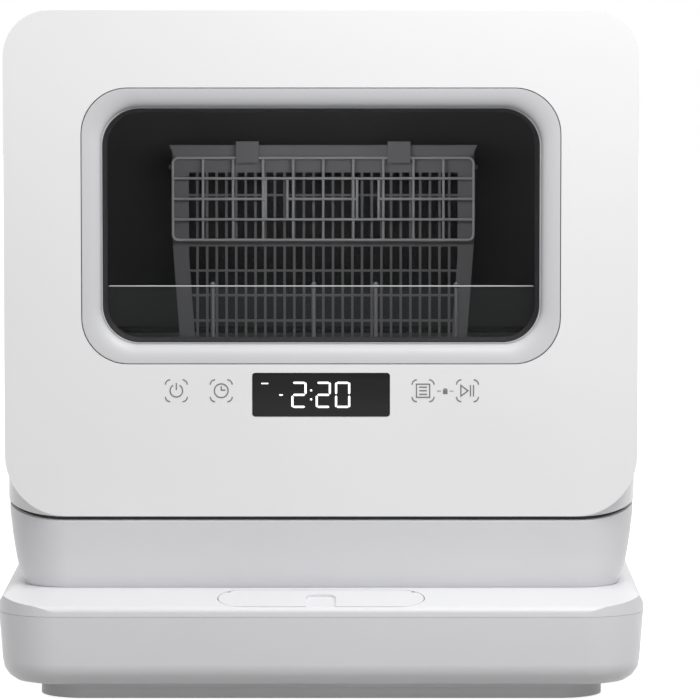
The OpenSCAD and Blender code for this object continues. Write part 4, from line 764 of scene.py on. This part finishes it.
class DISHWASHER_OT_rack(bpy.types.Operator):
    """The dish rack, the cup shelf of welded wire, its clips and the cutlery basket."""

    bl_idname = "dishwasher.rack"
    bl_label = "Rack"

    def execute(self, context):
        """The shelf has a bent frame wire with round corners, and its bars are welded behind it."""
        for node in ("dish_rack", "rack_feet", "rack_front", "rack_sides", "rack_back_wall"):
            rounded_copy(node, "rack_pp", 0.25, whole=False)
        rounded_copy("cutlery_basket", "basket_pp", 0.25, whole=False)
        rounded_copy("shelf_clips", "rack_pp", 0.5)
        low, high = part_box("rack_tines")
        rod = 1.5 * MM
        tine = np.array([(0.0, low.z), (rod, low.z), (rod, high.z - 1.8 * MM), (1.3 * MM, high.z - 0.8 * MM),
                         (0.8 * MM, high.z - 0.2 * MM), (0.0, high.z)])
        tines = [turned(tine, (x, y, 0), "Z", 20)
                 for x in np.linspace(low.x + rod, high.x - rod, 8) for y in (low.y + rod, high.y - rod)]
        settle("rack_tine_rods", joined("rack_tine_rods", tines), ["rack_tines"], "rack_pp")
        low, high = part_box("basket_posts")
        knob = 2.1 * MM
        post = np.array([(0.0, low.z), (rod, low.z), (rod, high.z - 4.4 * MM), (knob, high.z - 3.6 * MM),
                         (knob, high.z - 1.9 * MM), (rod, high.z - 1.2 * MM), (1.2 * MM, high.z - 0.3 * MM),
                         (0.0, high.z)])
        middle = (low.y + high.y) / 2
        # Each post's share of the way from the first to the last
        posts = [turned(post, (low.x + knob + share * (high.x - low.x - 2 * knob), middle, 0), "Z", 20)
                 for share in (0.0, 0.414, 0.669, 1.0)]
        settle("basket_post_rods", joined("basket_post_rods", posts), ["basket_posts"], "grey_nylon")
        details = context.scene.dishwasher_details
        r, pitch = details.shelf_wire, details.shelf_pitch
        low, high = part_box("cup_shelf")
        y = (low.y + high.y) / 2
        x0, x1, z0, z1 = low.x + r, high.x - r, low.z + r, high.z - r
        loop = rounded_loop(x0, x1, z0, z1, 4 * MM, 6)
        wires = [wire(np.stack([loop[:, 0], np.full(len(loop), y), loop[:, 1]], axis=1), r, closed=True)]
        # The middle bar has two gaps, with a short upright at both ends of each
        cuts = [(-0.0415, -0.0259), (0.0244, 0.04)]
        for k in (1, 3):
            wires.append(straight((x0, y, z1 - k * pitch), (x1, y, z1 - k * pitch), r))
        for a, b in ((x0, cuts[0][0]), (cuts[0][1], cuts[1][0]), (cuts[1][1], x1)):
            wires.append(straight((a, y, z1 - 2 * pitch), (b, y, z1 - 2 * pitch), r))
        behind = y + 1.7 * r
        for x in np.linspace(x0, x1, 11)[1:-1]:
            wires.append(straight((x, behind, z0), (x, behind, z1 - 0.6 * r), r))
        for x in (c for cut in cuts for c in cut):
            wires.append(straight((x, behind, z1 - 3 * pitch), (x, behind, z1 - pitch), r))
        settle("cup_shelf_wires", joined("cup_shelf_wires", wires, 50.0), ["cup_shelf"], "coated_wire")
        return {"FINISHED"}


# How bright the world is for surfaces; the camera and reflections see it white
AMBIENT = 0.53
# Name, place, point it faces, width and height, power in watts; the last one fills the chamber from behind the window
LAMPS = [
    ("Key", (0.4, -0.95, 1.25), (0.0, 0.0, 0.25), (1.0, 0.5), 10.7),
    ("Near", (0.25, -0.7, 0.95), (0.0, 0.0, 0.25), (0.8, 0.4), 1.2),
    ("Top", (0.0, 0.1, 1.5), (0.0, 0.0, 0.25), (1.0, 1.0), 5.7),
    ("Inside", (0.0, -0.15, 0.38), (0.0, 0.1, 0.31), (0.22, 0.06), 0.2),
]


def seen_by_eye(tree):
    """1 for rays from the camera, directly, by a mirror or through glass, and 0 for the rays that light a surface."""
    path = add(tree, "ShaderNodeLightPath")
    seen = path.outputs["Is Camera Ray"]
    for kind in ("Is Glossy Ray", "Is Transmission Ray"):
        seen = add(tree, "ShaderNodeMath", {0: seen, 1: path.outputs[kind]}, operation="MAXIMUM").outputs[0]
    return seen


def floor_material():
    """White paper that the camera sees as white, with a faint shadow close to the object."""
    material = bpy.data.materials.new("White paper sweep")
    material.use_nodes = True
    tree = material.node_tree
    tree.nodes.clear()
    seen = seen_by_eye(tree)
    tint = add(tree, "ShaderNodeMix", {"Factor": seen}, data_type="RGBA")
    tint.inputs["A"].default_value = linear("#989898")
    tint.inputs["B"].default_value = linear("#e6e6e6")
    paper = add(tree, "ShaderNodeBsdfDiffuse", {"Color": tint.outputs["Result"]})
    level = add(tree, "ShaderNodeMath", {0: seen, 1: 0.86}, operation="MULTIPLY")
    glow = add(tree, "ShaderNodeEmission", {"Color": (1, 1, 1, 1), "Strength": level.outputs[0]})
    both = add(tree, "ShaderNodeAddShader", {0: paper.outputs["BSDF"], 1: glow.outputs["Emission"]})
    add(tree, "ShaderNodeOutputMaterial", {"Surface": both.outputs["Shader"]})
    return material


class DISHWASHER_OT_stage(bpy.types.Operator):
    """The floor, the lamps, the world and the camera."""

    bl_idname = "dishwasher.stage"
    bl_label = "Stage"

    def execute(self, context):
        """The eye looks level to the picture's middle, from its own height."""
        scene = context.scene
        view = scene.dishwasher_view
        face_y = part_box("hood_shell")[0].y

        data = bpy.data.cameras.new("Camera")
        camera = bpy.data.objects.new("Camera", data)
        scene.collection.objects.link(camera)
        camera.location = (view.eye_side, face_y - view.distance, view.eye_height)
        aim = Vector((view.eye_side, face_y, view.aim_height)) - camera.location
        camera.rotation_mode = "QUATERNION"
        camera.rotation_quaternion = aim.to_track_quat("-Z", "Y")
        data.sensor_width = 36.0
        data.lens = data.sensor_width * aim.length / view.field
        data.clip_start, data.clip_end = 0.05, 50.0
        scene.camera = camera

        floor_mesh = bpy.data.meshes.new("floor")
        reach = 8.0
        corners = [(-reach, -reach, 0), (reach, -reach, 0), (reach, reach, 0), (-reach, reach, 0)]
        floor_mesh.from_pydata(corners, [], [(0, 1, 2, 3)])
        floor = bpy.data.objects.new("floor", floor_mesh)
        scene.collection.objects.link(floor)
        floor_mesh.materials.append(floor_material())

        for name, place, target, size, power in LAMPS:
            lamp = bpy.data.lights.new(name, "AREA")
            lamp.shape = "RECTANGLE"
            lamp.size, lamp.size_y = size
            lamp.energy = power
            holder = bpy.data.objects.new(name, lamp)
            scene.collection.objects.link(holder)
            holder.location = place
            holder.visible_camera = False
            # The window and the bezel would mirror the lamp inside the chamber
            holder.visible_glossy = name != "Inside"
            holder.rotation_mode = "QUATERNION"
            holder.rotation_quaternion = (Vector(target) - Vector(place)).to_track_quat("-Z", "Y")

        world = bpy.data.worlds.new("Studio")
        scene.world = world
        world.use_nodes = True
        tree = world.node_tree
        tree.nodes.clear()
        level = add(tree, "ShaderNodeMapRange", {"Value": seen_by_eye(tree), "To Min": AMBIENT, "To Max": 1.0})
        sky = add(tree, "ShaderNodeBackground", {"Color": (1, 1, 1, 1), "Strength": level.outputs["Result"]})
        add(tree, "ShaderNodeOutputWorld", {"Surface": sky.outputs["Background"]})
        scene.view_settings.view_transform = "Standard"
        return {"FINISHED"}


class DISHWASHER_PT_panel(bpy.types.Panel):
    """Lists the operators in the sidebar."""

    bl_label = "Dishwasher"
    bl_idname = "DISHWASHER_PT_panel"
    bl_space_type = "VIEW_3D"
    bl_region_type = "UI"
    bl_category = "Dishwasher"

    def draw(self, context):
        """One button for each operator, under the sizes and colours."""
        for name in GROUPS:
            group = getattr(context.scene, name)
            for key in group.bl_rna.properties.keys():
                if key not in ("rna_type", "name"):
                    self.layout.prop(group, key)
        for operator in OPERATORS:
            self.layout.operator(operator.bl_idname)


GROUPS = {"dishwasher_looks": Looks, "dishwasher_details": Details, "dishwasher_view": View}
OPERATORS = [DISHWASHER_OT_hood, DISHWASHER_OT_window, DISHWASHER_OT_controls, DISHWASHER_OT_hinge_and_latch,
             DISHWASHER_OT_body, DISHWASHER_OT_chamber, DISHWASHER_OT_spray_arm, DISHWASHER_OT_base,
             DISHWASHER_OT_filling, DISHWASHER_OT_rear, DISHWASHER_OT_pumps, DISHWASHER_OT_rack, DISHWASHER_OT_stage]


def register():
    """Registers the classes and gives the scene its groups of properties."""
    for group in GROUPS.values():
        bpy.utils.register_class(group)
    for operator in OPERATORS:
        bpy.utils.register_class(operator)
    bpy.utils.register_class(DISHWASHER_PT_panel)
    for key, group in GROUPS.items():
        setattr(bpy.types.Scene, key, bpy.props.PointerProperty(type=group))


def unregister():
    """Takes back what register does, in the opposite order."""
    for key in GROUPS:
        delattr(bpy.types.Scene, key)
    bpy.utils.unregister_class(DISHWASHER_PT_panel)
    for operator in reversed(OPERATORS):
        bpy.utils.unregister_class(operator)
    for group in GROUPS.values():
        bpy.utils.unregister_class(group)


def main():
    """Builds every piece."""
    register()
    MATERIALS.update(make_materials(bpy.context.scene.dishwasher_looks))
    bpy.ops.dishwasher.hood()
    bpy.ops.dishwasher.window()
    bpy.ops.dishwasher.controls()
    bpy.ops.dishwasher.hinge_and_latch()
    bpy.ops.dishwasher.body()
    bpy.ops.dishwasher.chamber()
    bpy.ops.dishwasher.spray_arm()
    bpy.ops.dishwasher.base()
    bpy.ops.dishwasher.filling()
    bpy.ops.dishwasher.rear()
    bpy.ops.dishwasher.pumps()
    bpy.ops.dishwasher.rack()
    bpy.ops.dishwasher.stage()


if __name__ == "__main__":
    main()
